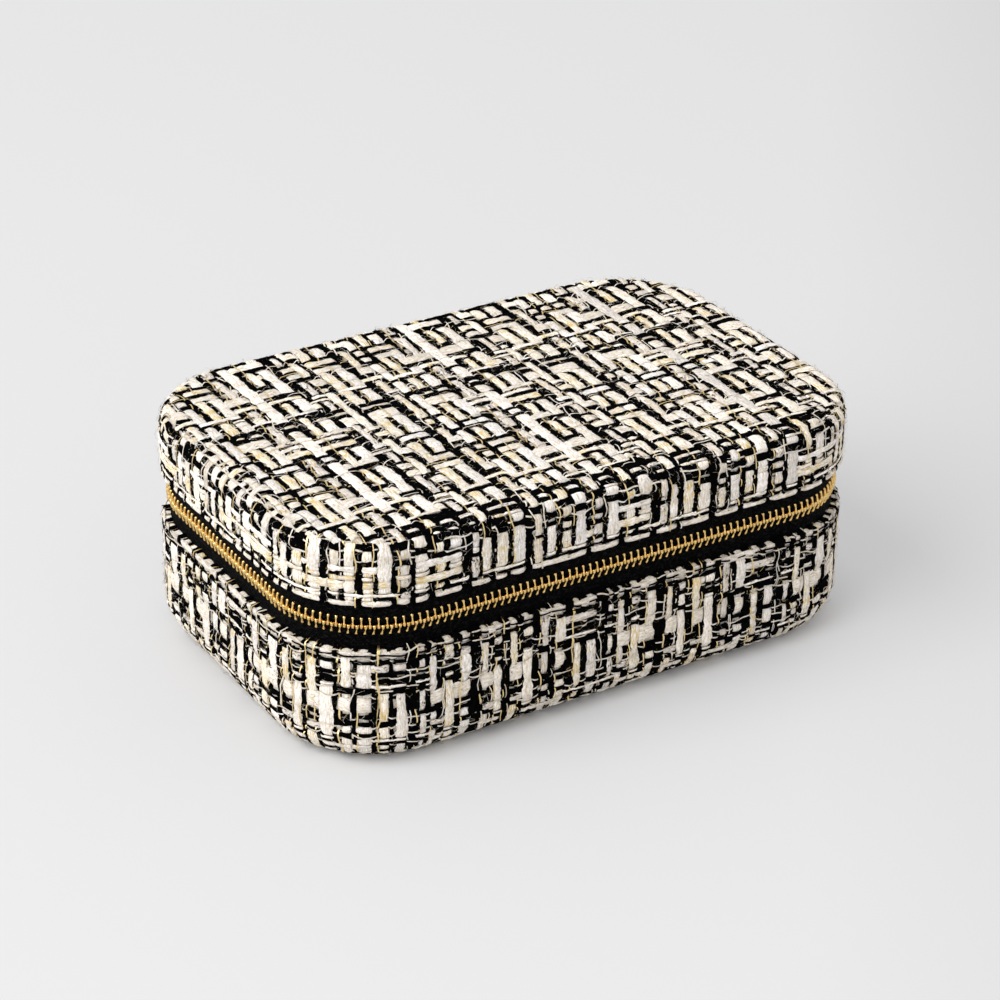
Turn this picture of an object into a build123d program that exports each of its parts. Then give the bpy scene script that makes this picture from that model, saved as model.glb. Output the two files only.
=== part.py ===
from build123d import *

import os

# Travel jewelry box: a rigid two-part case in tweed, closed by a metal zip round its front and sides.
# Millimetres. The origin is the centre of the flat underside, +X runs along the length,
# +Y to the hinge at the back and +Z up. The front is at -Y.

# Case outside
case_length = 200.0
case_width = 133.0
case_height = 76.0
corner_radius = 35.0
top_edge_radius = 5.5
bottom_edge_radius = 12.0

# Zip line and the fabric band that shows above and below it
zip_height = 47.5
band_half = 7.0
rim_edge_radius = 1.0

# Wall layers, from the outside in
cover_thickness = 2.7
board_thickness = 2.2
lining_thickness = 1.5
padding_thickness = 1.0
padding_margin = 12.0

# Zip tape and the fabric hinge strip, both held in a seat cut in the boards
tape_thickness = 0.6
tape_seat_depth = 8.0
tape_edge_gap = 0.8
tail_edge_gap = 0.1
strip_corner_margin = 1.0
strip_end_gap = 0.3
strip_lining_thickness = 0.8
strip_lining_play = 0.1

# Zip teeth
tooth_pitch = 2.434
tooth_leg_width = 0.8
tooth_head_width = 1.0
tooth_leg_reach = 2.8
tooth_neck_reach = 0.9
tooth_head_reach = 0.55
tooth_thickness = 2.8
rear_corner_share = 0.55

# Zip slider, parked at the rear end of the right side
slider_length = 12.5
slider_rear_gap = 7.0
slider_front_gap = 3.5
slider_wall = 1.0
slider_play = 0.25
slider_rim_gap = 0.4
slider_tape_play = 0.2
slider_edge_radius = 0.5
flare = 1.5
flare_length = 5.0
flare_lead = 0.6
post_length = 4.0
post_play = 0.15
post_sink = 0.3
stop_length = 2.0
stop_gap = 1.1
stop_lip = 0.4
stop_grip = 1.85
bottom_stop_length = 3.0
bottom_stop_overhang = 0.3

# Pull: an arch on the slider, a wire link through it and a plate on the link
arch_span = 8.0
arch_bar = 1.2
arch_width = 1.4
arch_tunnel = 1.8
link_wire = 1.2
link_bend_radius = 1.7
link_straight = 4.0
pull_thickness = 1.2
pull_length = 20.0
pull_top_radius = 2.4
pull_bottom_radius = 4.2
pull_hole_radius = 1.3
pull_hole_play = 0.25
pull_edge_radius = 0.3

# Inside of the base
seat_play = 0.2
partition_thickness = 2.4
partition_height = 31.0
partition_y = 8.0
ring_wall_left = -63.0
ring_wall_right = 29.0
ring_roll_count = 9
ring_roll_gap = 0.3
ring_roll_height = 22.0
ring_roll_end_radius = 2.0
divider_places = (-30.0, 32.0)
divider_height = 28.0
divider_play = 0.3
guide_width = 1.5
guide_depth = 1.5

# Inside of the lid
frame_thickness = 3.0
frame_end_border = 28.0
frame_side_border = 25.0
frame_window_radius = 8.0
frame_edge_radius = 1.0
mirror_lap = 4.0
mirror_thickness = 1.8
mirror_play = 0.2

# Worked out from the sizes above
straight_x = case_length / 2 - corner_radius
straight_y = case_width / 2 - corner_radius
base_rim = zip_height - band_half
lid_rim = zip_height + band_half
board_inset = cover_thickness
lining_inset = board_inset + board_thickness
cavity_inset = lining_inset + lining_thickness
tape_inset = cover_thickness
tape_middle = tape_inset + tape_thickness / 2
tape_low = base_rim - tape_seat_depth
tape_high = lid_rim + tape_seat_depth
strip_half_length = straight_x - strip_corner_margin
slider_half_width = tooth_leg_reach + slider_play + slider_wall
lining_rim_gap = slider_half_width + flare + slider_rim_gap
base_lining_rim = zip_height - lining_rim_gap
lid_lining_rim = zip_height + lining_rim_gap
slider_y = straight_y - slider_rear_gap - slider_length / 2
slider_travel = slider_y - slider_length / 2 + straight_y - slider_front_gap
flare_from = -flare_length / 2
post_y = flare_length / 2
post_half_width = tape_edge_gap - post_play
chain_x = case_length / 2 - tape_middle
link_half = link_straight + link_bend_radius
floor_height = cavity_inset
ceiling_height = case_height - cavity_inset


def outline(inset):
    """The case's outline in plan, drawn in by inset."""
    return RectangleRounded(
        case_length - 2 * inset, case_width - 2 * inset, corner_radius - inset
    )


def block(inset, low, high):
    """A straight block of the case's outline between two heights."""
    return Pos(0, 0, low) * extrude(outline(inset), high - low)


def base_block(inset, high):
    """The base's form drawn in by inset on its sides and floor, up to a height."""
    solid = block(inset, inset, high)
    return fillet(solid.edges().group_by(Axis.Z)[0], bottom_edge_radius - inset)


def lid_block(inset, low):
    """The lid's form drawn in by inset on its sides and top, down to a height."""
    solid = block(inset, low, case_height - inset)
    radius = top_edge_radius - inset
    if radius > 0.1:
        solid = fillet(solid.edges().group_by(Axis.Z)[-1], radius)
    return solid


def ring(inset, thickness, low, high):
    """A band that follows the wall, between two heights."""
    return block(inset, low, high) - block(inset + thickness, low - 1, high + 1)


def padding_sheet(low):
    """The foam sheet under the fabric of the top or the floor."""
    length = case_length - 2 * padding_margin
    width = case_width - 2 * padding_margin
    plan = RectangleRounded(length, width, corner_radius - padding_margin)
    return Pos(0, 0, low) * extrude(plan, padding_thickness)


def base_case():
    """Fabric cover, foam sheet, board tray and lining of the base."""
    padding = padding_sheet(cover_thickness - padding_thickness)
    outside = base_block(0, base_rim)
    rim_edges = outside.edges().group_by(Axis.Z)[-1]
    outside = fillet(rim_edges, rim_edge_radius)
    cover = outside - base_block(cover_thickness, base_rim + 1) - padding
    seat = ring(tape_inset, tape_thickness, tape_low, base_rim + 1)
    board = base_block(board_inset, base_rim) - base_block(lining_inset, base_rim + 1)
    lining = base_block(lining_inset, base_lining_rim)
    lining -= base_block(cavity_inset, base_lining_rim + 1)
    return {
        "base_cover": cover,
        "base_padding": padding,
        "base_board": board - seat,
        "base_lining": lining,
    }


def lid_case():
    """Fabric cover, foam sheet, board tray and lining of the lid."""
    padding = padding_sheet(case_height - cover_thickness)
    outside = lid_block(0, lid_rim)
    rim_edges = outside.edges().group_by(Axis.Z)[0]
    outside = fillet(rim_edges, rim_edge_radius)
    cover = outside - lid_block(cover_thickness, lid_rim - 1) - padding
    seat = ring(tape_inset, tape_thickness, lid_rim - 1, tape_high)
    board = lid_block(board_inset, lid_rim) - lid_block(lining_inset, lid_rim - 1)
    lining = lid_block(lining_inset, lid_lining_rim)
    lining -= lid_block(cavity_inset, lid_lining_rim - 1)
    return {
        "lid_cover": cover,
        "lid_padding": padding,
        "lid_board": board - seat,
        "lid_lining": lining,
    }


def chain_path():
    """The middle of the zip tape, from the rear left corner round the front to the slider's mouth."""
    half_x = straight_x + corner_radius - tape_middle
    half_y = straight_y + corner_radius - tape_middle
    corners = [
        (-straight_x + 5, half_y),
        (-half_x, half_y),
        (-half_x, -half_y),
        (half_x, -half_y),
        (half_x, slider_y + slider_length / 2),
    ]
    return FilletPolyline(*corners, radius=corner_radius - tape_middle)


def flare_at(y):
    """How far each row of teeth stands off the zip line at a place inside the slider."""
    share = (y - slider_y - flare_from) / flare_length
    return flare * min(1.0, max(0.0, share))


def tooth():
    """One tooth of the upper row: a leg clamped on the tape, and a wider head past the zip line."""
    outline_points = [
        (-tooth_leg_width / 2, tooth_leg_reach),
        (tooth_leg_width / 2, tooth_leg_reach),
        (tooth_leg_width / 2, tooth_neck_reach),
        (tooth_head_width / 2, -tooth_head_reach),
        (-tooth_head_width / 2, -tooth_head_reach),
        (-tooth_leg_width / 2, tooth_neck_reach),
    ]
    profile = Plane.XZ * make_face(Polyline(*outline_points, close=True))
    return extrude(profile, tooth_thickness / 2, both=True)


def first_tooth_along(path):
    """How far along the path the first tooth stands, part of the way round the rear left corner."""
    rear_arc = path.edges()[1].length
    return path.edges()[0].length + rear_arc * (1 - rear_corner_share)


def chain_rows():
    """Both rows of teeth. Those that the slider passes are apart, because the chain parts there."""
    path = chain_path()
    first = first_tooth_along(path)
    count = int((path.length - first) / tooth_pitch)
    upper_tooth = tooth()
    lower_tooth = upper_tooth.mirror(Plane.XY)
    passed_from = slider_y - slider_travel - slider_length / 2 - tooth_head_width
    rows = {}
    for row, single, half_step, side in (
        ("upper_teeth", upper_tooth, 0.0, 1),
        ("lower_teeth", lower_tooth, 0.5, -1),
    ):
        plain, passed = [], []
        for index in range(count):
            along = first + (index + half_step) * tooth_pitch
            middle = path.position_at(along, position_mode=PositionMode.LENGTH)
            heading = path.tangent_at(along, position_mode=PositionMode.LENGTH)
            on_right = middle.X > chain_x - 0.01 and middle.Y > passed_from
            lift = side * flare_at(middle.Y) if on_right else 0.0
            place = Plane(
                origin=(middle.X, middle.Y, zip_height + lift),
                x_dir=heading,
                z_dir=(0, 0, 1),
            )
            (passed if on_right else plain).append(place.location * single)
        rows[row] = Compound(plain)
        rows[row + "_right_side"] = Compound(passed)
    return rows


def rear_stop_place():
    """Where the bottom stop sits, just past the first tooth on the rear left corner."""
    path = chain_path()
    along = first_tooth_along(path) - tooth_pitch / 2 - bottom_stop_length / 2
    middle = path.position_at(along, position_mode=PositionMode.LENGTH)
    heading = path.tangent_at(along, position_mode=PositionMode.LENGTH)
    return Plane(origin=(middle.X, middle.Y, zip_height), x_dir=heading, z_dir=(0, 0, 1))


def chain_gap():
    """The gap between the tapes' edges along the chain, wider where the slider and stops part them."""
    band = ring(
        tape_inset - 1, tape_thickness + 2, zip_height - tape_edge_gap, zip_height + tape_edge_gap
    )
    rear_left_y = rear_stop_place().origin.Y
    stops_end = slider_y + slider_length / 2 + stop_gap + stop_length
    rear_left = Pos(-case_length / 2, rear_left_y + case_width / 2, zip_height)
    rear_right = Pos(case_length / 2, stops_end + case_width / 2, zip_height)
    window = Box(case_length, case_width, case_height)
    wedge_points = [
        (slider_y + flare_from, tape_edge_gap),
        (slider_y + flare_from + flare_length, tape_edge_gap + flare),
        (stops_end, tape_edge_gap + flare),
        (stops_end + 2 * stop_length, 0),
        (stops_end, -tape_edge_gap - flare),
        (slider_y + flare_from + flare_length, -tape_edge_gap - flare),
        (slider_y + flare_from, -tape_edge_gap),
    ]
    wedge = extrude(Plane.YZ * make_face(Polyline(*wedge_points, close=True)), 2, both=True)
    return band - rear_left * window - rear_right * window + Pos(chain_x, 0, zip_height) * wedge


def tapes():
    """The two zip tapes, and the hinge strip with its lining between their ends."""
    back_window = Pos(0, case_width / 2, zip_height) * Box(
        2 * (strip_half_length + strip_end_gap), 2 * corner_radius, 2 * case_height
    )
    gap = chain_gap() + back_window
    lower = ring(tape_inset, tape_thickness, tape_low, zip_height - tail_edge_gap)
    upper = ring(tape_inset, tape_thickness, zip_height + tail_edge_gap, tape_high)
    stop_reach = tooth_leg_reach + bottom_stop_overhang + stop_lip
    notch = rear_stop_place().location * Box(bottom_stop_length + stop_lip, 4, 2 * stop_reach)
    strip = Pos(0, case_width / 2 - tape_middle, (tape_low + tape_high) / 2) * Box(
        2 * strip_half_length, tape_thickness, tape_high - tape_low
    )
    strip_lining_y = case_width / 2 - tape_inset - tape_thickness - strip_lining_thickness / 2
    strip_lining = Pos(0, strip_lining_y, zip_height) * Box(
        2 * strip_half_length, strip_lining_thickness, 2 * (band_half - strip_lining_play)
    )
    return {
        "lower_zip_tape": lower - gap,
        "upper_zip_tape": upper - gap - notch,
        "hinge_strip": strip,
        "hinge_strip_lining": strip_lining,
    }


def zip_stops():
    """Bottom stop on the rear left corner, and a top stop on each tape past the slider."""
    reach = tooth_leg_reach + bottom_stop_overhang
    thickness = tooth_thickness + 2 * bottom_stop_overhang
    bottom = rear_stop_place().location * Box(bottom_stop_length, thickness, 2 * reach)
    height = stop_lip + stop_grip
    stop_y = slider_y + slider_length / 2 + stop_gap + stop_length / 2
    block_solid = Box(tooth_thickness, stop_length, height)
    block_solid = fillet(block_solid.edges().filter_by(Axis.Z), stop_lip)
    rise = tape_edge_gap + flare - stop_lip + height / 2
    return {
        "zip_bottom_stop": fillet(bottom.edges().filter_by(Axis.Z), 0.6),
        "lower_top_stop": Pos(chain_x, stop_y, zip_height - rise) * block_solid,
        "upper_top_stop": Pos(chain_x, stop_y, zip_height + rise) * block_solid,
    }


def slider_outline(wall, overrun):
    """The slider's plan, narrow at its tail and wide at its mouth, thinned on its sides by wall."""
    tail = slider_half_width - wall
    mouth = tail + flare
    end = slider_length / 2 + overrun
    knee = flare_from - flare_lead
    points = [
        (-end, -tail),
        (knee, -tail),
        (knee + flare_length, -mouth),
        (end, -mouth),
        (end, mouth),
        (knee + flare_length, mouth),
        (knee, tail),
        (-end, tail),
    ]
    return make_face(Polyline(*points, close=True))


def slider():
    """Slider body: two plates joined by a post, with flanges that hold the teeth and leave a slot for tape."""
    half_cavity = tooth_thickness / 2 + slider_play
    half_body = half_cavity + slider_wall
    body = extrude(slider_outline(0, 0), half_body, both=True)
    body = fillet(body.edges().filter_by(Axis.Z), slider_edge_radius)
    body = fillet(body.edges().group_by(Axis.Z)[-1], slider_edge_radius)
    channel = extrude(slider_outline(slider_wall, 1), half_cavity, both=True)
    tape_slot = tape_thickness + 2 * slider_tape_play
    slot = Box(2 * slider_length, 4 * slider_length, tape_slot)
    post_points = [
        (post_y - post_length / 2, 0),
        (post_y, post_half_width),
        (post_y + post_length / 2, 0),
        (post_y, -post_half_width),
    ]
    post_face = make_face(Polyline(*post_points, close=True))
    post = extrude(post_face, half_body - post_sink, both=True)
    arch_rise = arch_tunnel + arch_bar
    arch = Rectangle(arch_span, 2 * arch_rise)
    arch = fillet(arch.vertices(), arch_bar)
    arch -= Rectangle(arch_span - 2 * arch_bar, 2 * arch_tunnel)
    arch = extrude(Plane.XZ * arch, arch_width / 2, both=True)
    arch = split(arch, bisect_by=Plane.XY, keep=Keep.TOP)
    body = body - channel - slot + post + Pos(0, 0, half_body) * arch
    # Local x is the way to the mouth, local z points out of the case.
    place = Plane(origin=(chain_x, slider_y, zip_height), x_dir=(0, 1, 0), z_dir=(1, 0, 0))
    return place.location * body


def arch_axis_x():
    """How far out the middle of the arch's bar lies."""
    half_body = tooth_thickness / 2 + slider_play + slider_wall
    return chain_x + half_body + arch_tunnel + arch_bar / 2


def pull_link():
    """Wire link that hangs from the arch, in a plane across the wall."""
    radius = link_bend_radius
    bend_top = CenterArc((0, 0), radius, 0, 180)
    side_left = Line((-radius, 0), (-radius, -link_straight))
    bend_bottom = CenterArc((0, -link_straight), radius, 180, 180)
    side_right = Line((radius, -link_straight), (radius, 0))
    path = Plane.XZ * Wire([bend_top, side_left, bend_bottom, side_right])
    section = Plane(origin=path @ 0, z_dir=path % 0) * Circle(link_wire / 2)
    link = sweep(section, path)
    return Pos(arch_axis_x(), slider_y, zip_height) * link


def pull_plate():
    """Pull plate, hung by its hole on the foot of the link."""
    ends = Circle(pull_top_radius) + Pos(0, -pull_length) * Circle(pull_bottom_radius)
    plate = extrude(Plane.YZ * make_hull(ends.edges()), pull_thickness / 2, both=True)
    faces = plate.faces().filter_by(Axis.X)
    plate = fillet(faces.edges(), pull_edge_radius)
    hole = extrude(Plane.YZ * Circle(pull_hole_radius), pull_thickness, both=True)
    drop = pull_hole_radius - link_wire / 2 - pull_hole_play
    return Pos(arch_axis_x(), slider_y, zip_height - link_half - drop) * (plate - hole)


def cavity(play):
    """The free space inside the base's lining, drawn in by a play."""
    return base_block(cavity_inset + play, base_lining_rim + 20)


def base_fittings():
    """Partitions, ring rolls, removable dividers and their guides."""
    room = cavity(seat_play)
    half = partition_thickness / 2
    back_y = case_width / 2 - cavity_inset
    front_y = -back_y
    top = floor_height + partition_height

    def upright(x0, x1, y0, y1, height):
        size = Box(x1 - x0, y1 - y0, height)
        return Pos((x0 + x1) / 2, (y0 + y1) / 2, floor_height + height / 2) * size

    long_wall = upright(
        -case_length / 2, case_length / 2, partition_y - half, partition_y + half, partition_height
    )
    ring_walls = [
        upright(x - half, x + half, partition_y + half, back_y, partition_height) & room
        for x in (ring_wall_left, ring_wall_right)
    ]
    rolls_from = ring_wall_left + half + ring_roll_gap
    pitch = (ring_wall_right - half - rolls_from) / ring_roll_count
    roll_width = pitch - ring_roll_gap
    rolls = []
    for index in range(ring_roll_count):
        x = rolls_from + index * pitch
        roll = upright(
            x, x + roll_width, partition_y + half + ring_roll_gap, back_y - ring_roll_gap, ring_roll_height
        )
        crown = roll.edges().filter_by(Axis.Y).group_by(Axis.Z)[-1]
        roll = fillet(crown, roll_width / 2 - 0.05)
        rolls.append(fillet(roll.faces().filter_by(Axis.Y).edges(), ring_roll_end_radius) & room)
    guides, dividers = [], []
    for x in divider_places:
        for end_y, way in ((front_y, 1), (partition_y - half, -1)):
            for side in (-1, 1):
                middle = x + side * (half + divider_play + guide_width / 2)
                near, far = sorted((end_y, end_y + way * guide_depth))
                rib = upright(
                    middle - guide_width / 2, middle + guide_width / 2, near, far, divider_height
                )
                guides.append(rib & room.moved(Location((0, -seat_play if way > 0 else 0, 0))))
        plate = upright(
            x - half, x + half, front_y + divider_play, partition_y - half - divider_play, divider_height
        )
        plate &= cavity(divider_play)
        crown = plate.edges().filter_by(Axis.Y).group_by(Axis.Z)[-1]
        dividers.append(fillet(crown, half - 0.2))
    return {
        "long_partition": long_wall & room,
        "ring_section_walls": Compound(ring_walls),
        "ring_rolls": Compound(rolls),
        "divider_guides": Compound(guides),
        "left_divider": dividers[0],
        "right_divider": dividers[1],
    }


def lid_fittings():
    """Mirror and the lined frame that holds it against the lid's lining."""
    low = ceiling_height - frame_thickness
    window_length = case_length - 2 * (cavity_inset + frame_end_border)
    window_width = case_width - 2 * (cavity_inset + frame_side_border)
    frame = block(cavity_inset + seat_play, low, ceiling_height)
    frame = fillet(frame.edges().group_by(Axis.Z)[0], frame_edge_radius)
    window = RectangleRounded(window_length, window_width, frame_window_radius)
    frame -= Pos(0, 0, low - 1) * extrude(window, frame_thickness + 2)
    mirror_length = window_length + 2 * mirror_lap
    mirror_width = window_width + 2 * mirror_lap
    mirror_radius = frame_window_radius + mirror_lap
    mirror_low = ceiling_height - mirror_thickness - mirror_play / 2
    mirror_plan = RectangleRounded(mirror_length, mirror_width, mirror_radius)
    mirror = Pos(0, 0, mirror_low) * extrude(mirror_plan, mirror_thickness)
    rebate_plan = RectangleRounded(
        mirror_length + 2 * mirror_play, mirror_width + 2 * mirror_play, mirror_radius + mirror_play
    )
    rebate_depth = mirror_thickness + mirror_play
    frame -= Pos(0, 0, ceiling_height - rebate_depth) * extrude(rebate_plan, rebate_depth + 1)
    return {"mirror_frame": frame, "mirror": mirror}


def build():
    """Every piece of the box, by the name of its node."""
    pieces = {}
    pieces.update(base_case())
    pieces.update(lid_case())
    pieces.update(tapes())
    pieces.update(chain_rows())
    pieces.update(zip_stops())
    pieces["slider"] = slider()
    pieces["pull_link"] = pull_link()
    pieces["pull_plate"] = pull_plate()
    pieces.update(base_fittings())
    pieces.update(lid_fittings())
    return pieces


os.makedirs("parts", exist_ok=True)
for node, solid in build().items():
    export_step(solid, f"parts/{node}.step")
    print(node, round(solid.volume, 1))
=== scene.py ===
# %% [markdown]
# # A zipped jewelry case in ribbon tweed
# The case is a rigid box in two halves, covered in a loose tweed of flat ribbons and thin black
# yarns, and closed by a metal zip on a black tape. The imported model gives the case's true sizes and
# the bodies that move. This scene dresses it: each visible yarn, tooth and velvet roll becomes a
# surface of its own. All lengths are metres, +X runs along the case, +Z is up and the front is -Y.

import bmesh
import bpy
import numpy as np
from mathutils import Matrix, Vector


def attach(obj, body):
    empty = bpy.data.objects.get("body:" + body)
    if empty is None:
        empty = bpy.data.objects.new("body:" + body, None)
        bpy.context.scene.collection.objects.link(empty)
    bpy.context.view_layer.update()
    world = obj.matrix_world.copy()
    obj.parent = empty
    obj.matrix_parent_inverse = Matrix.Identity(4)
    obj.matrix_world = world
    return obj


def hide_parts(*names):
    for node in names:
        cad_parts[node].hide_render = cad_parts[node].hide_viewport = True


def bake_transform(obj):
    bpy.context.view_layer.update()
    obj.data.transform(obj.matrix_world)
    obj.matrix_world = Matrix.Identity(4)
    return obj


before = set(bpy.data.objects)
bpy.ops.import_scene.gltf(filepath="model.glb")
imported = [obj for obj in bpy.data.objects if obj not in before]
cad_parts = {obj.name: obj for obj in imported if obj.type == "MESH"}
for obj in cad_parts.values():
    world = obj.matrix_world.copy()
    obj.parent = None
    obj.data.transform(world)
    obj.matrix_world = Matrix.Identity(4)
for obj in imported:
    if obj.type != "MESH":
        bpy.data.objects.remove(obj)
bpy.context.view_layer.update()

# %% [markdown]
# ## The case's sizes
# The dress has to lie on the case, so the few sizes that both share are named once, here. The
# outline is a rectangle with round corners. Top and bottom meet the walls in a round edge.

# %% Sizes shared by all the pieces
MM = 0.001
LENGTH, WIDTH, HEIGHT = 200 * MM, 133 * MM, 76 * MM
CORNER = 35 * MM
ZIP_Z = 47.5 * MM
BASE_RIM, LID_RIM = ZIP_Z - 7 * MM, ZIP_Z + 7 * MM
TOP_EDGE, BOTTOM_EDGE = 5.5 * MM, 12 * MM
STRAIGHT_X, STRAIGHT_Y = LENGTH / 2 - CORNER, WIDTH / 2 - CORNER

# %% [markdown]
# ## The camera
# A photograph taken from 0.98 m with a long lens flattens the case only a little. The lens, the
# height and the turn were found by fitting the case's outline and zip line to the photograph.

# %% Camera
CAMERA_AZIMUTH, CAMERA_ELEVATION = np.radians(-31.77), np.radians(28.27)
CAMERA_DISTANCE, CAMERA_ROLL = 0.9828, np.radians(0.95)
CAMERA_TARGET = Vector((0, 0, 35.8 * MM))
LENS_MM, SENSOR_MM = 111.72, 36.0
SHIFT_X, SHIFT_Y = -0.00283, 0.0107


def camera_axes(azimuth, elevation, roll):
    """Right, up and back of a camera that looks at the target: azimuth 0 looks along +Y."""
    back = Vector(
        (
            np.sin(azimuth) * np.cos(elevation),
            -np.cos(azimuth) * np.cos(elevation),
            np.sin(elevation),
        )
    )
    level = Vector((np.cos(azimuth), np.sin(azimuth), 0))
    upright = back.cross(level)
    right = level * np.cos(roll) + upright * np.sin(roll)
    return right, back.cross(right), back


def put_in_scene(name, data):
    """A new object at the origin that holds the data, linked to the scene."""
    made = bpy.data.objects.new(name, data)
    bpy.context.scene.collection.objects.link(made)
    return made


right, up, back = camera_axes(CAMERA_AZIMUTH, CAMERA_ELEVATION, CAMERA_ROLL)
camera = put_in_scene("camera", bpy.data.cameras.new("camera"))
camera.data.lens, camera.data.sensor_width = LENS_MM, SENSOR_MM
camera.data.shift_x, camera.data.shift_y = SHIFT_X, SHIFT_Y
turn = Matrix((right, up, back)).transposed().to_4x4()
camera.matrix_world = Matrix.Translation(CAMERA_TARGET + back * CAMERA_DISTANCE) @ turn
bpy.context.scene.camera = camera
print("camera at", [round(v, 4) for v in camera.matrix_world.translation])

# %% [markdown]
# ## Two helpers that every piece uses
# A piece is one or more grids of points, worked out as whole arrays. `Patches` gathers grids, each
# with its UVs and a tint, and writes them into one mesh with `foreach_set`. A grid of rows and
# columns becomes quads by joining each point to its neighbours. Where a grid ends on itself or in
# a point, `weld` merges the points that meet.


# %% Gathering grids into a mesh
class Patches:
    """Grids of points, (rows, columns, 3), with their UVs, tints and shares of odd fibres.

    turned says that the faces of its yarns have to be turned round to point outwards.
    """

    def __init__(self, turned=False):
        self.points, self.uvs, self.quads = [], [], []
        self.tints, self.shares, self.slots = [], [], []
        self.total, self.turned = 0, turned

    def add(self, grid, uv, tint=(1, 1, 1), shares=(0, 0, 0), slot=0, wrap=False, flip=False):
        """Adds a grid, or a stack of grids of one shape.

        Each quad joins a point to its neighbours in the next row and column. wrap joins the last
        column to the first, and flip turns the faces round.
        """
        shape = grid.shape[:-1]
        index = self.total + np.arange(np.prod(shape)).reshape(shape)
        self.total += index.size
        if wrap:
            index = np.concatenate([index, index[..., :1]], axis=-1)
        a, b = index[..., :-1, :-1], index[..., :-1, 1:]
        c, d = index[..., 1:, 1:], index[..., 1:, :-1]
        order = (a, d, c, b) if flip else (a, b, c, d)
        quads = np.stack(order, axis=-1).reshape(-1, 4)
        self.points.append(grid.reshape(-1, 3))
        self.uvs.append(np.broadcast_to(uv, (*shape, 2)).reshape(-1, 2))
        self.tints.append(np.broadcast_to(tint, (*shape, 3)).reshape(-1, 3))
        self.shares.append(np.broadcast_to(shares, (*shape, 3)).reshape(-1, 3))
        self.quads.append(quads)
        self.slots.append(np.full(len(quads), slot))

    def build(self, name, materials):
        """One smooth mesh object from all the grids, with a UV for each corner of each quad."""
        points, quads = np.concatenate(self.points), np.concatenate(self.quads)
        mesh = bpy.data.meshes.new(name)
        mesh.vertices.add(len(points))
        mesh.vertices.foreach_set("co", points.astype(np.float32).ravel())
        mesh.loops.add(quads.size)
        mesh.loops.foreach_set("vertex_index", quads.astype(np.int32).ravel())
        mesh.polygons.add(len(quads))
        mesh.polygons.foreach_set("loop_start", np.arange(0, quads.size, 4, dtype=np.int32))
        mesh.polygons.foreach_set("material_index", np.concatenate(self.slots).astype(np.int32))
        mesh.update(calc_edges=True)
        corner_uvs = np.concatenate(self.uvs)[quads.ravel()]
        layer = mesh.uv_layers.new(name="along")
        layer.data.foreach_set("uv", corner_uvs.astype(np.float32).ravel())
        for label, rows in (("tint", self.tints), ("shares", self.shares)):
            attribute = mesh.attributes.new(label, "FLOAT_VECTOR", "POINT")
            attribute.data.foreach_set("vector", np.concatenate(rows).astype(np.float32).ravel())
        mesh.polygons.foreach_set("use_smooth", np.ones(len(quads), bool))
        for material in materials:
            mesh.materials.append(material)
        mesh.validate()
        print(f"{name}: {len(points)} points, {2 * len(quads)} triangles")
        return put_in_scene(name, mesh)


# %% Closing seams
SAME_POINT = 0.002 * MM


def weld(piece):
    """Merges points that coincide, so seams, end faces and poles close, and counts open edges."""
    form = bmesh.new()
    form.from_mesh(piece.data)
    bmesh.ops.remove_doubles(form, verts=form.verts, dist=SAME_POINT)
    form.to_mesh(piece.data)
    open_edges = sum(edge.is_boundary for edge in form.edges)
    form.free()
    print(f"{piece.name}: {open_edges} open edges after welding")
    return piece


# %% [markdown]
# ## Materials: shared effects first
# Cloth is made of fibres, and three effects carry most of the finish: streaks that run along a
# yarn, a twill of fine diagonal ribs, and soft uneven patches. Each could be built anew in every
# material, but a node group with named inputs is built once and used by several. A group gives out
# only masks and heights; the shader itself stays in the material.


# %% Node helpers
def new_group(name, inputs, outputs):
    """An empty shader node group, with its input node and its output node.

    inputs are a socket's name, kind and, for a number, default value; all outputs are numbers.
    """
    group = bpy.data.node_groups.new(name, "ShaderNodeTree")
    for label, kind, value in inputs:
        socket = group.interface.new_socket(label, in_out="INPUT", socket_type=kind)
        if kind == "NodeSocketFloat":
            socket.default_value = value
    for label in outputs:
        group.interface.new_socket(label, in_out="OUTPUT", socket_type="NodeSocketFloat")
    return group, group.nodes.new("NodeGroupInput"), group.nodes.new("NodeGroupOutput")


def node(tree, kind, **settings):
    """A node of that kind, with its properties and its unlinked inputs set by name."""
    made = tree.nodes.new(kind)
    for key, value in settings.items():
        if key in made.inputs:
            made.inputs[key].default_value = value
        else:
            setattr(made, key, value)
    return made


def feed(tree, target, value):
    """Links a socket to the target, or sets the target to a number or a colour."""
    if isinstance(value, bpy.types.NodeSocket):
        tree.links.new(value, target)
    else:
        target.default_value = (*value, 1) if isinstance(value, tuple) else value


def math(tree, operation, *values, clamp=False):
    """The result of a Math node: each value is a socket to link or a number."""
    made = node(tree, "ShaderNodeMath", operation=operation, use_clamp=clamp)
    for target, value in zip(made.inputs, values):
        feed(tree, target, value)
    return made.outputs[0]


def blend_colour(tree, factor, low, high):
    """A colour that runs from low to high with factor; each may be a socket or a colour."""
    made = node(tree, "ShaderNodeMix", data_type="RGBA")
    # A Mix node keeps its factor in input 0 and its two colours in inputs 6 and 7.
    for place, value in ((0, factor), (6, low), (7, high)):
        feed(tree, made.inputs[place], value)
    return made.outputs[2]


def ramp(tree, value, start, end):
    """0 where value is at start or below, 1 where it is at end or above, and even between."""
    made = node(tree, "ShaderNodeMapRange")
    for target, number in zip(made.inputs, (value, start, end, 0.0, 1.0)):
        feed(tree, target, number)
    return made.outputs[0]


# %% Streaks along a yarn
fibre_group, g_in, g_out = new_group(
    "fibre streaks",
    [("UV", "NodeSocketVector", None), ("Across", "NodeSocketFloat", 10)],
    ["Streak", "Fuzz", "Speck"],
)
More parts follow.
